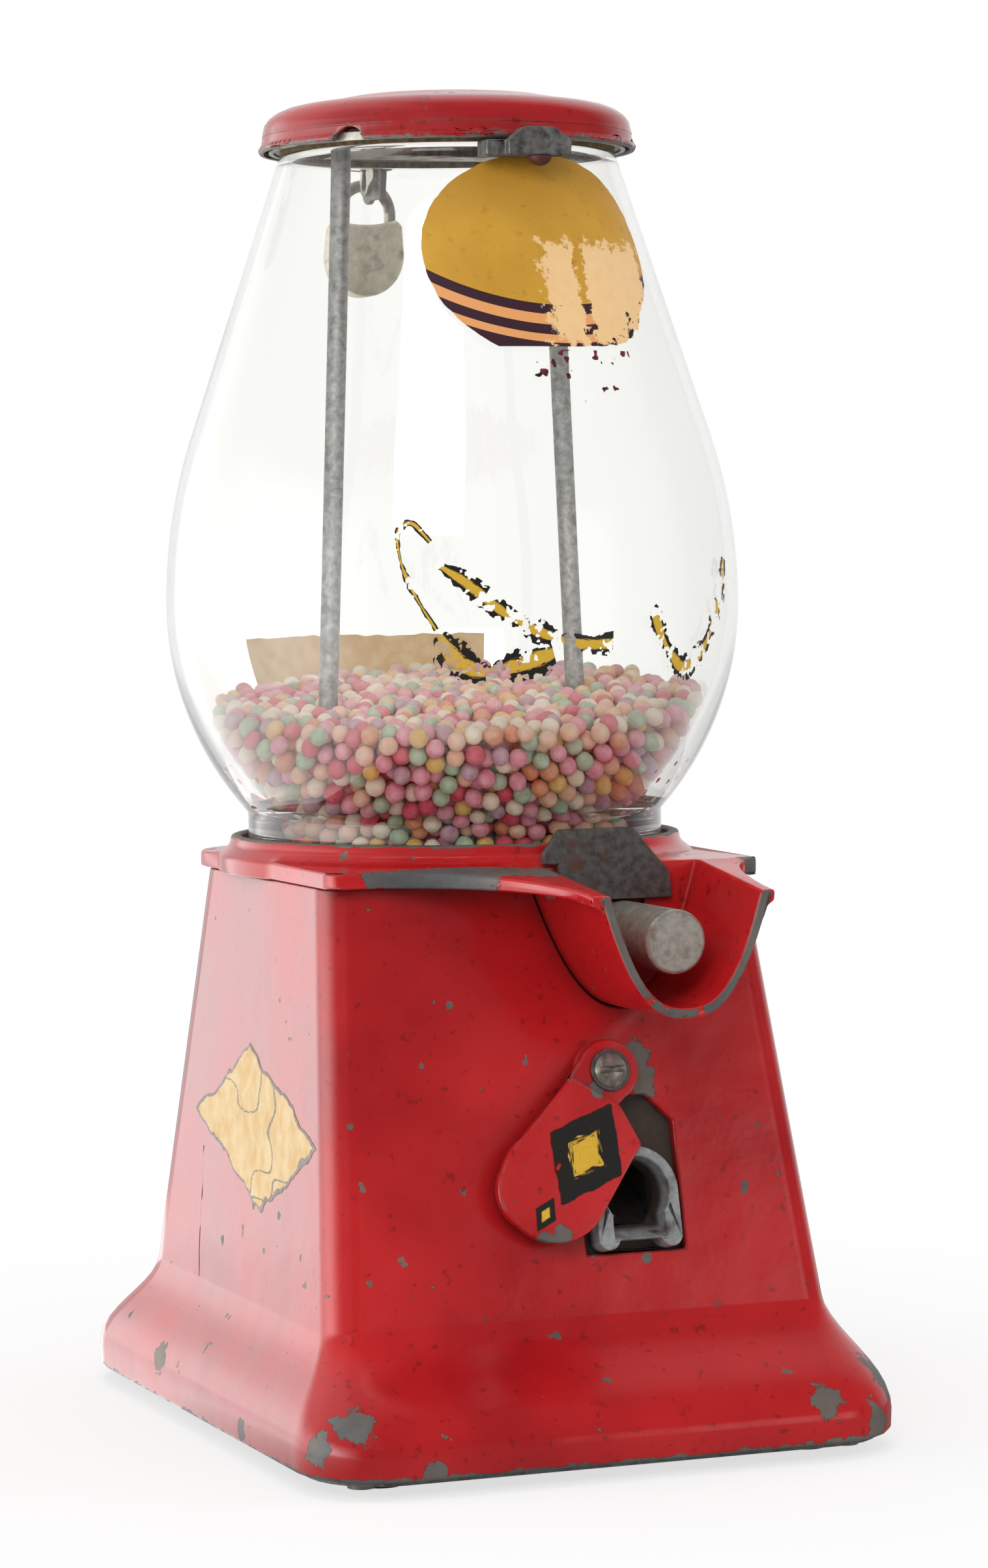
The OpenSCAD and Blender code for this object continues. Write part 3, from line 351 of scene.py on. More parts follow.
def bare_metal(name, light, dark, stain, stain_and_painted_shade_share=0.5, roughness=0.35, metallic=0.9, recess=0.0):
    """Bare worn metal: a light and a dark tone in fine mottling, stains of settled grime and oxide in random
    patches, grime and painted shade in the corners and recesses in the same stain colour, and small dents.
    recess is how strongly painted shade in the stain colour darkens the metal behind the plane of the front
    face."""
    material, shader, node = blank(name)
    here = node("TexCoord", out="Object")
    mottle = node("TexNoise", {"Vector": here, "Scale": 1 / (2.5 * MM), "Detail": 5.0, "Roughness": 0.65})
    patch = node("TexNoise", {"Vector": here, "Scale": 1 / (7 * MM), "Detail": 4.0})
    tone = node("MapRange", {"Value": mottle, "From Min": 0.3, "From Max": 0.7})
    metal = node("Mix", {"Factor": tone, "A": linear(dark), "B": linear(light)}, data_type="RGBA")
    stain_and_painted_shade = node("MapRange", {"Value": patch, "From Min": 0.68 - 0.3 * stain_and_painted_shade_share,
                             "From Max": 0.8 - 0.2 * stain_and_painted_shade_share, "To Max": 0.85})
    # Painted shade: ambient occlusion lays the stain colour into corners and recesses, as grime and as
    # shade.
    shelter = node("AmbientOcclusion", {"Distance": 6 * MM}, "AO", samples=6)
    corner = node("MapRange", {"Value": shelter, "From Min": 0.7, "From Max": 0.2, "To Max": stain_and_painted_shade_share})
    stain_and_painted_shade = node("Math", {0: stain_and_painted_shade, 1: corner}, operation="MAXIMUM")
    if recess:
        # Painted shade: behind the plane of the front face, inside the spout's mouth, the metal is darkened
        # in the stain colour.
        inward = Vector((0.0, math.cos(FRONT_TILT), -math.sin(FRONT_TILT)))
        plane = inward.dot(Vector(placed(0.0, -FRONT_REACH, 0.0)))
        behind = node("VectorMath", {0: here, 1: inward}, operation="DOT_PRODUCT")
        painted_recess_shade = node("MapRange", {"Value": behind, "From Min": plane - 0.5 * MM, "From Max": plane + 3.5 * MM,
                                 "To Max": recess})
        stain_and_painted_shade = node("Math", {0: stain_and_painted_shade, 1: painted_recess_shade}, operation="MAXIMUM")
    colour = node("Mix", {"Factor": stain_and_painted_shade, "A": metal, "B": linear(stain)}, data_type="RGBA")
    shine = node("Math", {0: stain_and_painted_shade, 1: -metallic, 2: metallic}, operation="MULTIPLY_ADD")
    matt = node("Math", {0: mottle, 1: 0.25, 2: roughness - 0.1}, operation="MULTIPLY_ADD")
    matt = node("Mix", {"Factor": stain_and_painted_shade, "A": matt, "B": 0.75})
    bump = node("Bump", {"Height": mottle, "Strength": 0.35, "Distance": 0.15 * MM})
    fill(shader, {"Base Color": colour, "Metallic": shine, "Roughness": matt, "Normal": bump})
    return material


def chalky(name, colour, pale, size, roughness=0.7, depth=0.1, painted_top_light=None):
    """A matt surface in two near tones with fine bumps: pressed sugar, rubber, cork, glue, ink or paper.
    Given two heights, the colour is painted paler toward white between them and stays so above: painted
    light on the top of the mint heap."""
    material, shader, node = blank(name, Roughness=roughness)
    here = node("TexCoord", out="Object")
    mottle = node("TexNoise", {"Vector": here, "Scale": 1 / (size * MM), "Detail": 3.0})
    tone = node("MapRange", {"Value": mottle, "From Min": 0.35, "From Max": 0.65})
    mixed = node("Mix", {"Factor": tone, "A": linear(colour), "B": linear(pale)}, data_type="RGBA")
    # Painted light: between the two heights the colour turns paler toward white, as if lit from above.
    if painted_top_light:
        low, high = painted_top_light
        height = node("SeparateXYZ", {0: here}, "Z")
        painted_top_light_share = node("MapRange", {"Value": height, "From Min": (low + FOOT) * MM,
                                 "From Max": (high + FOOT) * MM, "To Max": 0.3})
        mixed = node("Mix", {"Factor": painted_top_light_share, "A": mixed, "B": linear("#fdf3ea")}, data_type="RGBA")
    bump = node("Bump", {"Height": mottle, "Strength": 0.4, "Distance": depth * MM})
    fill(shader, {"Base Color": mixed, "Normal": bump})
    return material


def blown_glass():
    """Blown soda glass: clear, smooth, with long faint waves from the mould, and a thin film of settled
    powder that shows where the glass is seen at a slant."""
    material, shader, node = blank("blown_glass", Roughness=0.0, IOR=1.45, Base_Color=linear("#fffffd"))
    here = node("TexCoord", out="Object")
    wave = node("TexNoise", {"Vector": here, "Scale": 1 / (45 * MM), "Detail": 0.0})
    bump = node("Bump", {"Height": wave, "Strength": 0.15, "Distance": 0.8 * MM})
    slant = node("LayerWeight", {"Blend": 0.5}, "Facing")
    film = node("Math", {0: slant, 1: 3.0}, operation="POWER")
    clear = node("Math", {0: film, 1: -0.32, 2: 1.0}, operation="MULTIPLY_ADD")
    fill(shader, {"Transmission Weight": clear, "Normal": bump})
    return material


red_body = enamel("red_enamel_body", bands=(("Z", 2.6, 0.2),), spots=(
    (-82, -125, 18, 11), (-90, -119, 9, 8), (64, -131, 13, 9), (80, -127, 6, 9), (88, -116, 15, 12),
    (-92, -60, 4, 6), (-60, -133, 1, 6), (90, -100, 10, 8), (-92, 20, 12, 8), (-92, 100, 10, 9),
    (40, -117, 31, 3), (72, -103, 42, 4), (60, -76, 142, 4), (23, -84, 111, 8), (26, -86, 104, 7)))
red_top = enamel("red_enamel_top", edge=1.25, deep="#ae181c", bright="#cf2326", spots=(
    (-54, -80, 166, 10), (-47, -80, 166, 13), (-39, -80, 166, 14), (-31, -81, 166, 14), (-23, -82, 166, 14),
    (-15, -83, 166, 13), (-7, -86, 165, 11), (1, -92, 163, 8), (66, -76, 166, 8)),
    bands=(("Y", -124.5, -124.8), ("Z", 173.4, 174.4)))
red_lid = enamel("red_enamel_lid", free=0.02, deep="#8c161a", bright="#ae2024", bare=0.6, spots=(
    (-58, -41, 393, 4), (-22, -66, 394, 4), (-2, -69, 396, 3.5), (22, -66, 392, 4.5), (44, -54, 390, 5),
    (-40, -58, 389, 5)), bands=(("Z", 386.2, 384.8), ("Y", 69.5, 71.5)))
red_flap = enamel("red_enamel_flap", edge=1.1, spots=(
    (-14, -104.5, 61, 5.5), (-8, -104.5, 62, 6), (-27, -104, 66, 4), (8, -93, 103, 4)))
pale_steel = bare_metal("worn_pale_steel", "#b7b3aa", "#8b877d", "#6a4630", 0.4, 0.34, 0.5)
rod_steel = bare_metal("galvanised_rod_steel", "#cfcfcd", "#7f7f7d", "#70695f", 0.25, 0.45, 0.6)
screw_steel = bare_metal("slotted_screw_steel", "#b4afa6", "#5f5b54", "#4a3324", 0.45, 0.3, 0.6)
dark_steel = bare_metal("dark_coin_steel", "#6c6a67", "#3a3937", "#5f3b28", 0.4, 0.5, 0.3)
grey_iron = bare_metal("bare_cast_iron", "#8f9192", "#5c5f60", "#4a3526", 0.45, 0.5, 0.55)
# Painted shade: the spout's iron is darkened behind the front face, where its mouth lies in shade.
spout_iron = bare_metal("spout_iron_painted_recess_shade", "#a5a8a9", "#777b7c", "#3a2a1e", 0.35, 0.5, 0.15, recess=0.92)
# Painted shade: the chute's tin gets near-black tones because it lies in shade inside the spout's mouth.
chute_tin_painted_shade = bare_metal("dark_chute_tin", "#3b3833", "#24221f", "#1a140f", 0.6, 0.7, 0.3)
catch_iron = bare_metal("black_catch_iron", "#82817f", "#343332", "#54402f", 0.3, 0.45, 0.4)
tin_plate = bare_metal("tinned_sheet", "#a9a69c", "#7d7a71", "#5e4d3a", 0.5, 0.4, 0.7)
padlock_metal = bare_metal("cast_padlock_metal", "#fbf2de", "#d6cab1", "#8a7a5e", 0.36, 0.6, 0.05)
slide_brass = bare_metal("cast_brass", "#c19a56", "#8f6f39", "#4f3f22", 0.3)
rivet_metal = bare_metal("painted_rivet", "#7d3a34", "#4c2320", "#3a2620", 0.4, 0.5, 0.3)
foot_rubber = chalky("moulded_rubber", "#1d1c1b", "#2c2a28", 1.5, 0.8)
cork = chalky("cork_gasket", "#5a4a37", "#84704f", 2.0, 0.9, 0.3)
old_paper = chalky("old_cream_paper", "#e9c58d", "#f5dcae", 6.0, 0.75)
label_glue = chalky("grey_label_glue", "#8f8a86", "#a9a39e", 3.0)
flaked_ink = chalky("flaked_ink", "#1b1416", "#7d2329", 2.4, 0.5)
clear_glass = blown_glass()

# Castings, sheet metal and hardware in the shapes of the CAD nodes
dressed("base_casting", red_body, 0.8, 40)
dressed("top_casting", red_top, 0.9, 40, flat=False)
dressed("lid", red_lid, 0.4, 50, flat=False)
dressed("flap", red_flap, 0.6)
for cad_node, look, slot, rounding in (
        ("coin_plate", dark_steel, "iron", 0.4), ("plunger", pale_steel, "steel", 0.4),
        ("spout", spout_iron, "iron", 0.5), ("flap_washer", dark_steel, "steel", 0.2),
        ("flap_screw", screw_steel, "steel", 0.25), ("lid_catch", catch_iron, "iron", 0.7),
        ("catch_rivet", rivet_metal, "iron", 0.2), ("padlock_body", padlock_metal, "steel", 1.1),
        ("padlock_shackle", pale_steel, "steel", 0.3), ("tie_rod_left", rod_steel, "steel", 0.3),
        ("tie_rod_right", rod_steel, "steel", 0.3), ("rod_nuts", rod_steel, "steel", 0.4),
        ("crossbar", tin_plate, "steel", 0.4), ("cap_ring", tin_plate, "lid_metal", 0.25),
        ("rubber_feet", foot_rubber, "rubber", 0.6)):
    dressed(cad_node, look, rounding, flat=cad_node not in ("spout", "lid_catch"))

# CAD nodes that are hidden or hardly seen, and only take a material
for cad_node, look in (
        ("base_plate", grey_iron), ("base_screws", pale_steel), ("cash_box", tin_plate),
        ("hopper_plate", tin_plate), ("globe_gasket", cork), ("lid_gasket", cork),
        ("slide_bed", grey_iron), ("mechanism_screws", pale_steel), ("delivery_chute", chute_tin_painted_shade),
        ("dispensing_slide", slide_brass)):
    frame["nodes"][cad_node].data.materials[0] = look


# Globe

def globe_shell():
    """The globe as a closed profile carried round its axis: up the outside, over a round lip, down the
    inside, and round the foot. The lip and the foot are half ellipses between the two walls."""
    half = GLASS / 2
    z = np.linspace(SEAT_Z + half, GLOBE_TOP - half, 90)
    outer, inner = globe_radius(z), globe_inner(z)
    turn = np.linspace(0, math.pi, 11)[1:-1]
    lip_r = inner[-1] + (outer[-1] - inner[-1]) * (0.5 + 0.5 * np.cos(turn))
    lip_z = z[-1] + half * np.sin(turn)
    foot_r = inner[0] + (outer[0] - inner[0]) * (0.5 - 0.5 * np.cos(turn))
    foot_z = z[0] - half * np.sin(turn)
    profile_r = np.concatenate([outer, lip_r, inner[::-1], foot_r])
    profile_z = np.concatenate([z, lip_z, z[::-1], foot_z])
    a = np.linspace(0, 2 * math.pi, 145)[:-1]
    points = placed(profile_r * np.sin(a)[:, None], profile_r * np.cos(a)[:, None], profile_z)
    piece = surface("globe_glass", points, clear_glass, "base", wrap=(True, True))
    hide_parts("globe")


globe_shell()


# Mints

def heap_top(points):
    """Height of the heap's slope over each point, which rises to the back and to the right."""
    to_back, to_right = 0.075, 0.05
    return HEAP_Z + to_back * points[:, 1] + to_right * points[:, 0]


def off_axis(points):
    """Distance of each point from the globe's axis."""
    return np.hypot(points[:, 0], points[:, 1])


def settle(points, radii):
    """Moves the mints in place: pairs that overlap are pushed apart, and all are held over the hopper,
    under the heap's slope, off the tie rods and inside the glass."""
    steps, look_again, pair_reach, tiny = 60, 12, 8.0, 1e-6
    for step in range(steps):
        if step % look_again == 0:
            square = (points ** 2).sum(1)
            near = square[:, None] + square - 2 * points @ points.T < pair_reach ** 2
            first, second = np.nonzero(np.triu(near, 1))
        across = points[second] - points[first]
        apart = np.linalg.norm(across, axis=1) + tiny
        push = np.maximum(radii[first] + radii[second] - apart, 0) * 0.5
        shove = across * (push / apart)[:, None]
        np.add.at(points, second, shove)
        np.add.at(points, first, -shove)
        points[:, 2] = points[:, 2].clip(HOPPER_TOP + radii + 0.2, heap_top(points) - 0.4 * radii)
        for side in (-1, 1):
            rod_x = side * (ROD_FOOT_X - ROD_LEAN * points[:, 2])
            off = np.stack([points[:, 0] - rod_x, points[:, 1]], 1)
            gap = np.linalg.norm(off, axis=1) + tiny
            points[:, :2] += off / gap[:, None] * np.maximum(ROD_ROOM + radii - gap, 0)[:, None]
        most = globe_inner(points[:, 2]) - radii - 0.3
        points[:, :2] *= np.minimum(1, most / (off_axis(points) + tiny))[:, None]


def mint_places():
    """Centres and radii of the mints: a shaken close packing inside the glass and under the slope, then
    settled. Mints deeper than the skin behind the glass and the slope are left out."""
    pitch, shake, skin = 5.75, 2.2, 19
    rng = np.random.default_rng(11)
    n = np.arange(-16, 17)
    i, j, k = np.meshgrid(n, n, np.arange(11), indexing="ij")
    x = (i + 0.5 * (j % 2) + 0.5 * (k % 2)) * pitch
    y = (j + 0.667 * (k % 2)) * pitch * 0.866
    points = np.stack([x, y, HOPPER_TOP + 3.4 + k * pitch * 0.8165], -1).reshape(-1, 3)
    points += rng.uniform(-shake, shake, points.shape)
    inside = off_axis(points) < globe_inner(points[:, 2]) - 2.0
    points = points[inside & (points[:, 2] < heap_top(points) - 1.0)]
    radii = rng.normal(2.8, 0.13, len(points)).clip(2.5, 3.1)
    settle(points, radii)
    depth = np.minimum(globe_inner(points[:, 2]) - off_axis(points), heap_top(points) - points[:, 2])
    return points[depth < skin], radii[depth < skin]


def mints():
    """Each colour of mint as one piece: a ball of 80 faces, a little out of true, set at every centre.
    The last number of a shade is its share."""
    shades = (("pink", "#f08ca2", "#f8b2c0", 0.19), ("raspberry", "#e03f5c", "#ea6478", 0.12),
              ("cream", "#fbe4c6", "#fdf0df", 0.17), ("peach", "#f8bd9a", "#fbd2b8", 0.15),
              ("mustard", "#efb957", "#f6cf88", 0.10), ("sage", "#a6bd9b", "#c3d5b8", 0.10),
              ("mauve", "#c08da1", "#d4adbc", 0.09), ("orange", "#e78957", "#f1ab84", 0.08))
    # Painted light: mints near the top of the heap are painted paler, as if lit from above.
    painted_top_light = (194, HEAP_Z + 3)
    shape = bmesh.new()
    bmesh.ops.create_icosphere(shape, subdivisions=2, radius=1)
    ball = np.array([v.co for v in shape.verts])
    faces = np.array([[v.index for v in f.verts] for f in shape.faces])
    shape.free()
    centres, radii = mint_places()
    rng = np.random.default_rng(5)
    share = np.cumsum([s[3] for s in shades])
    pick = np.searchsorted(share / share[-1], rng.random(len(centres)))
    turn = rng.uniform(0, 2 * math.pi, len(centres))
    oval = rng.uniform(0.95, 1.04, (len(centres), 3))
    c, s = np.cos(turn)[:, None], np.sin(turn)[:, None]
    x, y, z = ball.T
    turned = np.stack([x * c - y * s, x * s + y * c, np.broadcast_to(z, (len(centres), len(z)))], -1)
    solid = turned * (oval * radii[:, None])[:, None, :] + centres[:, None, :]
    for index, (name, colour, pale, _) in enumerate(shades):
        mine = solid[pick == index]
        points = placed(mine[..., 0], mine[..., 1], mine[..., 2]).reshape(-1, 3)
        corners = (faces + (np.arange(len(mine)) * len(ball))[:, None, None]).reshape(-1, 3)
        mesh = bpy.data.meshes.new("mints_" + name)
        mesh.from_pydata(points, [], corners)
        mesh.shade_smooth()
        sugar = chalky("pressed_sugar_" + name, colour, pale, 2.2, 0.62, painted_top_light=painted_top_light)
        piece = finish_piece("mints_" + name, mesh, sugar, "base")
        if index == 0:
            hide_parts("mint_pellets")


mints()


# Return spring

def return_spring():
    """A round wire carried along a helix on the plunger's shank, with flat end turns."""
    turns, wire, radius = 11, 0.65, 6.6
    t = np.linspace(0, 1, turns * 22)
    a = 2 * math.pi * turns * t
    ease = np.clip((t - 0.06) / 0.88, 0, 1)
    y = SPRING_FROM + (SPRING_TO - SPRING_FROM) * (0.02 * t + 0.98 * ease)
    b = np.linspace(0, 2 * math.pi, 9)[:-1]
    r = radius + wire * np.cos(b)
    points = placed(SPRING_X + r * np.cos(a)[:, None], y[:, None] + wire * np.sin(b),
                    SPRING_Z + r * np.sin(a)[:, None])
    piece = surface("return_spring", points, rod_steel, "base", wrap=(False, True))
    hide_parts("plunger_spring")
    anchor = placed(SPRING_X, SPRING_SEAT, SPRING_Z)
    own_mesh(piece)


return_spring()


# Labels and worn transfers

# Heights over the surface below, in millimetres
PAPER_LIFT, INK_LIFT, GLUE_LIFT, SCRATCH_LIFT, BADGE_LIFT = 0.16, 0.14, 0.1, 0.06, 0.12


def label_ground(node, v, fray, age):
    """The label's mustard ground, with brown stains towards its top and specks of foxing."""
    stain = node("MapRange", {"Value": v, "From Min": 0.1, "From Max": 0.34, "To Max": 0.7})
    stain = node("Math", {0: stain, 1: age}, operation="MULTIPLY")
    ground = node("Mix", {"Factor": age, "A": linear("#b98623"), "B": linear("#d9a63c")}, data_type="RGBA")
    ground = node("Mix", {"Factor": stain, "A": ground, "B": linear("#8a5518")}, data_type="RGBA")
    foxing = node("MapRange", {"Value": fray, "From Min": 0.57, "From Max": 0.75, "To Max": 0.6})
    return node("Mix", {"Factor": foxing, "A": ground, "B": linear("#7c4a12")}, data_type="RGBA")


def label_bands(node, plan, ground):
    """Maroon and orange bands over the ground's foot, as rings about a point above the label."""
    maroon, orange = linear("#3d222e"), linear("#e7a164")
    inner, outer, first = 0.6, 1.0, 0.42
    ring = node("VectorMath", {0: plan, 1: (0.0, 0.62, 0.0)}, operation="DISTANCE")
    share = node("MapRange", {"Value": ring, "From Min": inner, "From Max": outer})
    band = node("ValToRGB", {"Fac": share})
    ramp = band.node.color_ramp
    ramp.interpolation = "CONSTANT"
    ramp.elements.remove(ramp.elements[1])
    for place, tone in ((first, maroon), (0.5, orange), (0.58, maroon), (0.66, orange), (0.72, maroon)):
        ramp.elements.new(place).color = tone
    below = node("Math", {0: ring, 1: inner + (outer - inner) * first}, operation="GREATER_THAN")
    return node("Mix", {"Factor": below, "A": ground, "B": band}, data_type="RGBA")


def label_tear(node, u, v, fray):
    """1 where the label's face is torn off: a frayed oblong in its lower right part, split by a thin
    upright strip that is whole."""
    torn_u = node("Math", {0: u, 1: 0.17}, operation="SUBTRACT")
    torn_u = node("Math", {0: torn_u}, operation="ABSOLUTE")
    torn_u = node("Math", {0: torn_u, 1: 0.75}, operation="MULTIPLY")
    torn_v = node("Math", {0: v, 1: -0.11}, operation="SUBTRACT")
    torn_v = node("Math", {0: torn_v}, operation="ABSOLUTE")
    reach = node("Math", {0: torn_u, 1: torn_v}, operation="MAXIMUM")
    reach = node("Math", {0: fray, 1: 0.22, 2: reach}, operation="MULTIPLY_ADD")
    torn = node("MapRange", {"Value": reach, "From Min": 0.275, "From Max": 0.265})
    strip = node("Math", {0: fray, 1: 0.12, 2: u}, operation="MULTIPLY_ADD")
    strip = node("Math", {0: strip, 1: 0.145, 2: 0.014}, operation="COMPARE")
    off_strip = node("MapRange", {"Value": strip, "To Min": 1.0, "To Max": 0.0})
    return node("Math", {0: torn, 1: off_strip}, operation="MULTIPLY")


def label_paper():
    """Old varnished paper: a mustard ground with curved maroon and orange bands along its foot, a torn
    patch down to peach paper, and dark bits at its lower right. The UV map is in decimetres from the
    middle, and so are the places here. A noise scale counts its lumps in a decimetre."""
    material, shader, node = blank("varnished_label", Roughness=0.4)
    plan = node("TexCoord", out="UV")
    fray = node("TexNoise", {"Vector": plan, "Scale": 22.0, "Detail": 6.0, "Roughness": 0.7})
    age = node("TexNoise", {"Vector": plan, "Scale": 6.0, "Detail": 4.0})
    parts = node("SeparateXYZ", {0: plan}).node.outputs
    u, v = parts["X"], parts["Y"]
    colour = label_bands(node, plan, label_ground(node, v, fray, age))
    torn = label_tear(node, u, v, fray)
    pulp = node("Mix", {"Factor": fray, "A": linear("#eab877"), "B": linear("#f6d5a4")}, data_type="RGBA")
    colour = node("Mix", {"Factor": torn, "A": colour, "B": pulp}, data_type="RGBA")
    low_right = node("Math", {0: u, 1: 0.4}, operation="MULTIPLY")
    low_right = node("Math", {0: v, 1: -0.75, 2: low_right}, operation="MULTIPLY_ADD")
    bits = node("Math", {0: fray, 1: 0.55, 2: low_right}, operation="MULTIPLY_ADD")
    bits = node("MapRange", {"Value": bits, "From Min": 0.565, "From Max": 0.575})
    colour = node("Mix", {"Factor": bits, "A": colour, "B": linear("#2a1a1e")}, data_type="RGBA")
    bump = node("Bump", {"Height": fray, "Strength": 0.2, "Distance": 0.1 * MM})
    bump = node("Bump", {"Height": torn, "Strength": 0.4, "Distance": 0.1 * MM, "Normal": bump})
    fill(shader, {"Base Color": colour, "Normal": bump})
    return material


def globe_label():
    """An oval of paper on the globe, its foot cut straight: points go out from the middle along the
    width and the slope of the glass, and the lower right edge is nibbled away by a random grain."""
    half_width, half_height, foot, middle_arc, middle_z = 41, 34, 28, 8.5, 348.6
    t = np.linspace(0.0, 1.0, 70)[:, None]
    a = np.linspace(0, 2 * math.pi, 181)[None, :-1]
    round_u, round_v = np.cos(a) * 40, np.sin(a) * 40
    fray = grain(round_u, round_v, 3.0, 3) + 0.5 * grain(round_u, round_v, 1.2, 4)
    low_right = np.exp(-((a - math.radians(318)) / 0.42) ** 2)
    size = 1 - 0.012 * fray - 0.09 * low_right * fray
    across = half_width * t * size * np.cos(a)
    along = np.maximum(half_height * t * size * np.sin(a), -foot * t * (1 - 0.1 * low_right * fray))
    z = middle_z + along * math.cos(UPPER_LEAN)
    arc = middle_arc + np.degrees(across / globe_radius(z))
    surface("globe_label", on_globe(arc, z, PAPER_LIFT), label_paper(), "base", wrap=(False, True),
            plan=np.stack([across, along], -1) / 100)


def transfer_paint():
    """Flaked transfer varnish: yellow between black edges that run along the ribbon. The UV map's first
    number is the length in decimetres, and the second goes from 0 to 1 across the ribbon."""
    material, shader, node = blank("transfer_varnish", Roughness=0.45)
    plan = node("TexCoord", out="UV")
    fray = node("TexNoise", {"Vector": plan, "Scale": 40.0, "Detail": 4.0})
    middle = node("Math", {0: node("SeparateXYZ", {0: plan}, "Y"), 1: 0.5}, operation="SUBTRACT")
    middle = node("Math", {0: middle}, operation="ABSOLUTE")
    ragged = node("Math", {0: fray, 1: 0.3, 2: middle}, operation="MULTIPLY_ADD")
    edge = node("MapRange", {"Value": ragged, "From Min": 0.33, "From Max": 0.36})
    yellow = node("Mix", {"Factor": fray, "A": linear("#c99a1f"), "B": linear("#e3bb3e")}, data_type="RGBA")
    colour = node("Mix", {"Factor": edge, "A": yellow, "B": linear("#1d1a16")}, data_type="RGBA")
    fill(shader, {"Base Color": colour})
    return material


varnish = transfer_paint()


def ribbon(name, stops, width, left, seed):
    """A flaked ribbon on the globe: a smooth path through (arc, height) stops, carried across a width that
    swells and narrows along it. left is the share of cells that a random grain leaves in place."""
    window = 61
    stops = np.array(stops, float)
    t = np.linspace(0, len(stops) - 1, 420)
    path = np.stack([np.interp(t, np.arange(len(stops)), stops[:, k]) for k in (0, 1)], 1)
    padded = np.pad(path, ((window // 2, window // 2), (0, 0)), mode="edge")
    path = np.stack([np.convolve(padded[:, k], np.ones(window) / window, "valid") for k in (0, 1)], 1)
    flat = np.stack([np.radians(path[:, 0]) * globe_radius(path[:, 1]), path[:, 1]], 1)
    run = np.gradient(flat, axis=0)
    pace = np.linalg.norm(run, axis=1)
    run /= pace[:, None]
    length = np.cumsum(pace)
    swell = width * (0.4 + 0.8 * grain(length, 0.0, 7.0, seed + 3))
    across = np.linspace(-0.5, 0.5, 34)
    normal = np.stack([-run[:, 1], run[:, 0]], 1) * swell[:, None]
    spot = flat[:, None, :] + across[None, :, None] * normal[:, None, :]
    z = spot[..., 1]
    arc = np.degrees(spot[..., 0] / globe_radius(z))
    u = spot[..., 0] + 200
    flakes = (0.4 * grain(u, z, 4.2, seed) + 0.35 * grain(u, z, 1.8, seed + 1)
              + 0.25 * grain(u, z, 0.8, seed + 2))
    brim = np.abs(across) + 0.4 * (grain(u, z, 1.3, seed + 4) - 0.5)
    keep = ((flakes < np.quantile(flakes, left)) & (brim < 0.46))[:-1, :-1]
    plan = np.stack(np.broadcast_arrays(length[:, None] / 100, across[None, :] + 0.5), -1)
    surface(name, on_globe(arc, z, INK_LIFT), varnish, "base", keep=keep, plan=plan)


def label_flakes():
    """Flakes of ink on the globe below its label: a sheet of arc by height, with cells left out where a
    random grain is low. They thin out downwards."""
    top, bottom = 321, 296
    arc = np.linspace(-4, 26, 150)[:, None]
    z = np.linspace(bottom, top, 130)[None, :]
    flakes = 0.6 * grain(arc * 1.2, z, 3.6, 81) + 0.4 * grain(arc * 1.2, z, 1.3, 82) - 0.012 * (top - z)
    surface("globe_label_flakes", on_globe(arc, z, INK_LIFT), flaked_ink, "base",
            keep=(flakes > 0.63)[:-1, :-1])


def back_label():
    """A strip of paper inside the back of the globe: a sheet of arc by height whose long edges a random
    grain moves out."""
    arc = np.linspace(151.5, 212.5, 120)[:, None]
    z = np.linspace(216.5, 232.6, 30)[None, :]
    z = z + 1.6 * grain(arc * 1.5, z, 4.0, 51) * (z - 224) / 12
    inside = globe_inner(z) - globe_radius(z) - 0.15
    surface("globe_back_label", on_globe(arc, z, inside), old_paper, "base")


def side_labels():
    """A leaning lozenge of paper on the left wall over a little more glue: a sheet of length by height,
    kept where the sum of its two shares and a random grain is small. The paper is parted along creases."""
    middle_y, middle_z = -24.7, 88.4
    y = np.linspace(-57, 58, 230)[:, None]
    z = np.linspace(-25, 25, 120)[None, :]
    ragged = grain(y + 300, z, 9.0, 61) * 0.14 + grain(y + 300, z, 2.6, 62) * 0.05
    lozenge = np.abs(y - 0.4 * z) / 56 + np.abs(z) / 24 + ragged
    crease = np.abs(grain(y * 0.45 + 300, z, 8.0, 64) - 0.5) < 0.022
    for name, look, lift, kept in (("side_label_glue", label_glue, GLUE_LIFT, lozenge < 1.1),
                                   ("side_label", old_paper, PAPER_LIFT, (lozenge < 1.05) & ~crease)):
        surface(name, on_side(middle_y + y, middle_z + z, lift), look, "base", keep=kept[:-1, :-1])


def wall_scratch():
    """A dark line of rubber scuffed up the left wall: a thin strip along a root curve, with a random
    grain for its width."""
    foot_z, rise, foot_y, sweep = 27.6, 50.2, 13.2, 8.9
    z = foot_z + rise * np.linspace(0, 1, 90)[:, None]
    y = foot_y + sweep * ((z - foot_z) / rise) ** 0.35 + 1.2 * grain(z, 0.0, 5.0, 91)
    half = 0.32 * grain(z, 0.0, 3.0, 92) * np.array([[-1, 1]])
    surface("wall_scratch", on_side(y + half, z, SCRATCH_LIFT), foot_rubber, "base")


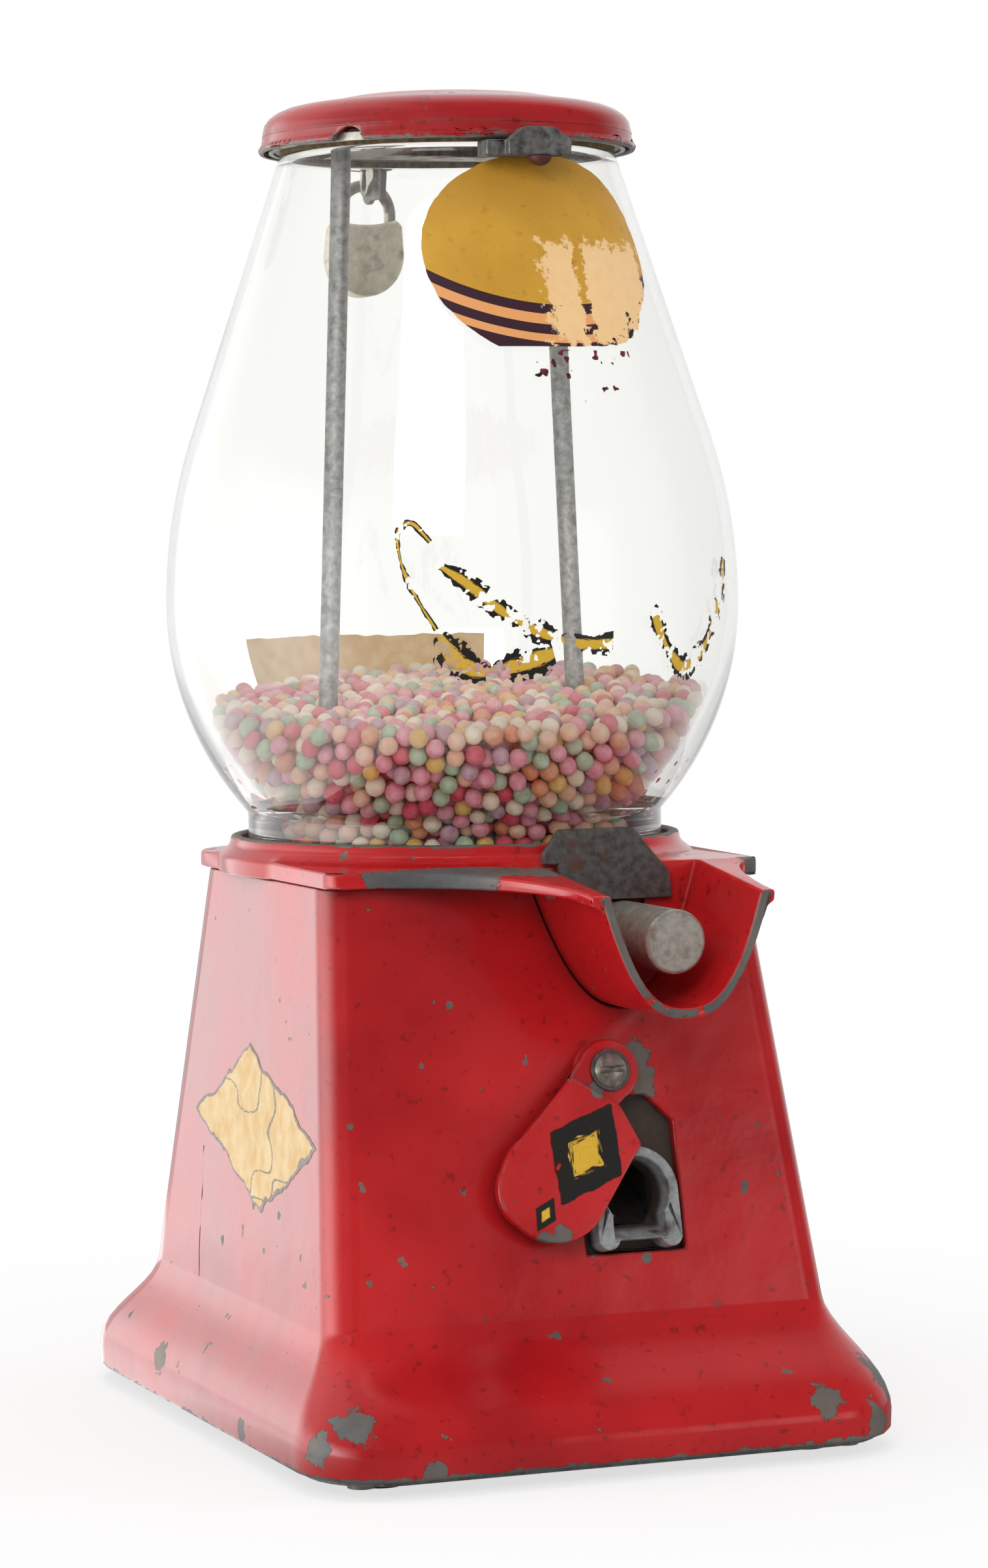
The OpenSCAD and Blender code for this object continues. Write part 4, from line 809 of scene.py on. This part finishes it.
def flap_badge(name, across, along, half_width, half_height):
    """A worn lozenge on the flap: a sheet kept where the sum of its two shares and a random grain is small,
    less a few flakes. Its colours run in rings, as the ribbons' run across."""
    u = np.linspace(-half_width, half_width, 90)[:, None]
    w = np.linspace(-half_height, half_height, 110)[None, :]
    ring = np.abs(u) / half_width + np.abs(w) / half_height + grain(u + 50, w, 3.0, 71) * 0.07
    keep = ((ring < 1.06) & (grain(u + 50, w, 4.0, 72) < 0.93))[:-1, :-1]
    plan = np.stack(np.broadcast_arrays(u / 100, 0.5 + 0.4 * ring), -1)
    surface(name, on_flap(across + u, along + w, FLAP_FACE + BADGE_LIFT), varnish, "flap", keep=keep,
            plan=plan)


globe_label()
ribbon("globe_transfer_tip", ((-25, 264), (-29, 271), (-32, 268), (-31, 258), (-28, 248), (-24, 238)),
       2.4, 0.8, 21)
ribbon("globe_transfer_slope", ((-24, 258), (-18, 252), (-12, 244), (-5, 238), (3, 234), (12, 234)),
       7.5, 0.6, 31)
ribbon("globe_transfer_foot", ((-24, 238), (-21, 230), (-16, 226), (-9, 228), (-1, 232)), 9.5, 0.62, 41)
ribbon("globe_transfer_right", ((20, 246), (24, 234), (31, 225), (38, 231), (44, 246), (48, 260)),
       8.0, 0.5, 51)
label_flakes()
back_label()
side_labels()
wall_scratch()
flap_badge("flap_lozenge", 3.6, -27.0, 12.5, 17.0)
flap_badge("flap_small_lozenge", 0.6, -49.0, 3.4, 5.6)


# Studio

def seen_through(node, toward):
    """Brightness behind the glass: full ahead of the camera, and less to its sides, which darkens the
    globe's outline."""
    beside = node("VectorMath", {0: toward, 1: CAMERA_RIGHT}, operation="DOT_PRODUCT")
    beside = node("Math", {0: beside}, operation="ABSOLUTE")
    return node("MapRange", {"Value": beside, "From Min": 0.3, "From Max": 0.85, "To Min": 1.0,
                             "To Max": 0.7})


def reflected_surround(node, toward):
    """What glossy faces see: a surround that is dim in front and bright behind, a large soft glow low on
    the left, and a small sheen low in front on the right."""
    parts = node("SeparateXYZ", {0: toward}).node.outputs
    x, y, z = parts["X"], parts["Y"], parts["Z"]
    dim = node("MapRange", {"Value": y, "From Max": 0.5, "To Min": 0.12, "To Max": 0.9})
    left = node("MapRange", {"Value": x, "From Min": -0.14, "From Max": -0.3})
    glow = node("MapRange", {"Value": y, "From Min": 0.6, "From Max": 0.0, "To Min": 1.75, "To Max": 5.5})
    ahead = node("MapRange", {"Value": y, "From Min": -0.8, "From Max": -0.05},
                 interpolation_type="SMOOTHSTEP")
    glow = node("Math", {0: glow, 1: ahead}, operation="MULTIPLY")
    low = node("MapRange", {"Value": z, "From Min": 0.12, "From Max": 0.42, "To Min": 1.0, "To Max": 0.08})
    glow = node("Math", {0: glow, 1: low}, operation="MULTIPLY")
    gleam = node("Math", {0: left, 1: glow, 2: dim}, operation="MULTIPLY_ADD")
    right = node("MapRange", {"Value": x, "From Min": 0.375, "From Max": 0.43})
    under = node("MapRange", {"Value": z, "From Min": 0.34, "From Max": 0.25, "To Max": 1.3})
    facing = node("MapRange", {"Value": y, "From Min": -0.6, "From Max": -0.75})
    sheen = node("Math", {0: right, 1: under}, operation="MULTIPLY")
    sheen = node("Math", {0: sheen, 1: facing}, operation="MULTIPLY")
    return node("Math", {0: gleam, 1: sheen}, operation="MAXIMUM")


def surround():
    """A white surround: full white for the camera, half as bright where it lights the object, and with
    patterns of its own for reflections and for what is seen through the glass."""
    bpy.context.scene.view_settings.view_transform = "Standard"
    world = bpy.data.worlds.new("studio")
    world.use_nodes = True
    bpy.context.scene.world = world
    node = functools.partial(add, world.node_tree)
    rays = node("LightPath").node.outputs
    toward = node("TexCoord", out="Generated")
    level = node("Mix", {"Factor": rays["Is Glossy Ray"], "A": 0.5, "B": reflected_surround(node, toward)})
    level = node("Mix", {"Factor": rays["Is Transmission Ray"], "A": level, "B": seen_through(node, toward)})
    level = node("Mix", {"Factor": rays["Is Camera Ray"], "A": level, "B": 1.0})
    fill(world.node_tree.nodes["Background"], {"Color": (1, 1, 1, 1), "Strength": level})


def floor_paint():
    """White floor paint: it takes shadows near the object and runs into pure white further out. Glossy
    faces see it brighter on the left and behind, and through the glass it shows as the surround does."""
    material, shader, node = blank("floor_paint", Roughness=0.95, Base_Color=linear("#f2f1ef"))
    here = node("TexCoord", out="Object")
    rays = node("LightPath").node.outputs
    away = node("VectorMath", {0: here}, operation="LENGTH")
    fade = node("MapRange", {"Value": away, "From Min": 0.14, "From Max": 0.4, "To Min": 0.7, "To Max": 1.0})
    side = node("VectorMath", {0: here, 1: (-0.8, 0.6, 0.0)}, operation="DOT_PRODUCT")
    gleam = node("MapRange", {"Value": side, "From Max": 0.12, "To Min": 0.2, "To Max": 2.2})
    strength = node("Mix", {"Factor": rays["Is Glossy Ray"], "A": 1.0, "B": gleam})
    outward = node("VectorMath", {0: here}, operation="NORMALIZE")
    through = seen_through(node, outward)
    strength = node("Mix", {"Factor": rays["Is Transmission Ray"], "A": strength, "B": through})
    white = node("Emission", {"Color": (1, 1, 1, 1), "Strength": strength})
    seen = node("Math", {0: rays["Is Camera Ray"], 1: rays["Is Transmission Ray"]}, operation="MAXIMUM")
    seen = node("Math", {0: seen, 1: fade}, operation="MULTIPLY")
    seen = node("Math", {0: seen, 1: rays["Is Glossy Ray"]}, operation="MAXIMUM")
    both = node("MixShader", {0: seen, 1: shader.outputs[0], 2: white})
    fill(material.node_tree.nodes["Material Output"], {"Surface": both})
    return material


def floor():
    """A round floor under the object."""
    radius, sides = 0.6, 64
    a = np.linspace(0, 2 * math.pi, sides + 1)[:-1]
    mesh = bpy.data.meshes.new("floor")
    mesh.from_pydata(np.stack([radius * np.cos(a), radius * np.sin(a), 0 * a], 1), [], [range(sides)])
    mesh.materials.append(floor_paint())
    ground = bpy.data.objects.new("floor", mesh)
    bpy.context.scene.collection.objects.link(ground)


def soft_boxes():
    """Four soft boxes that face the object's middle: place, size, power, and whether they are seen through
    the glass."""
    middle = Vector((0, 0, 0.2))
    for name, at, size, power, shows in (
            ("soft_box_left", (-1.6, 0.3, 0.7), (1.2, 1.2), 5, False),
            ("soft_box_front", (-0.9, -1.5, 1.2), (1.0, 1.0), 14.5, True),
            ("soft_box_right", (1.6, -0.5, 0.6), (0.5, 1.3), 7, False),
            ("soft_box_top", (-0.1, 0.1, 1.7), (1.0, 1.0), 9, True)):
        light = bpy.data.lights.new(name, "AREA")
        light.shape = "RECTANGLE"
        light.size, light.size_y = size
        light.energy = power
        lamp = bpy.data.objects.new(name, light)
        bpy.context.scene.collection.objects.link(lamp)
        lamp.location = at
        lamp.rotation_euler = (middle - Vector(at)).to_track_quat("-Z", "Y").to_euler()
        lamp.visible_camera = False
        lamp.visible_glossy = False
        lamp.visible_transmission = shows


def camera():
    """The photograph's camera: 21.29 degrees to the left of the front, 2.98 down, turned by 0.67, on a
    long lens whose axis lies a little left of the frame's middle."""
    away, height, sensor = 1426.1, 263.5, 36
    down, roll = math.radians(2.98), math.radians(0.67)
    level = np.array([math.sin(CAMERA_TURN), math.cos(CAMERA_TURN), 0.0])
    ahead = level * math.cos(down) - np.array([0.0, 0.0, math.sin(down)])
    right = np.array(CAMERA_RIGHT)
    over = np.cross(right, ahead)
    pose = np.eye(4)
    pose[:3, 0] = right * math.cos(roll) - over * math.sin(roll)
    pose[:3, 1] = right * math.sin(roll) + over * math.cos(roll)
    pose[:3, 2] = -ahead
    pose[:3, 3] = placed(-away * level[0], -away * level[1], height)
    lens = bpy.data.cameras.new("camera")
    lens.sensor_width = sensor
    lens.lens = sensor * PHOTO_FOCAL / PHOTO_HEIGHT
    lens.shift_x = (PHOTO_WIDTH / 2 - PHOTO_AXIS_X) / PHOTO_HEIGHT
    lens.clip_start = 0.05
    eye = bpy.data.objects.new("camera", lens)
    bpy.context.scene.collection.objects.link(eye)
    eye.matrix_world = Matrix(pose.tolist())
    bpy.context.scene.camera = eye


surround()
floor()
soft_boxes()
camera()
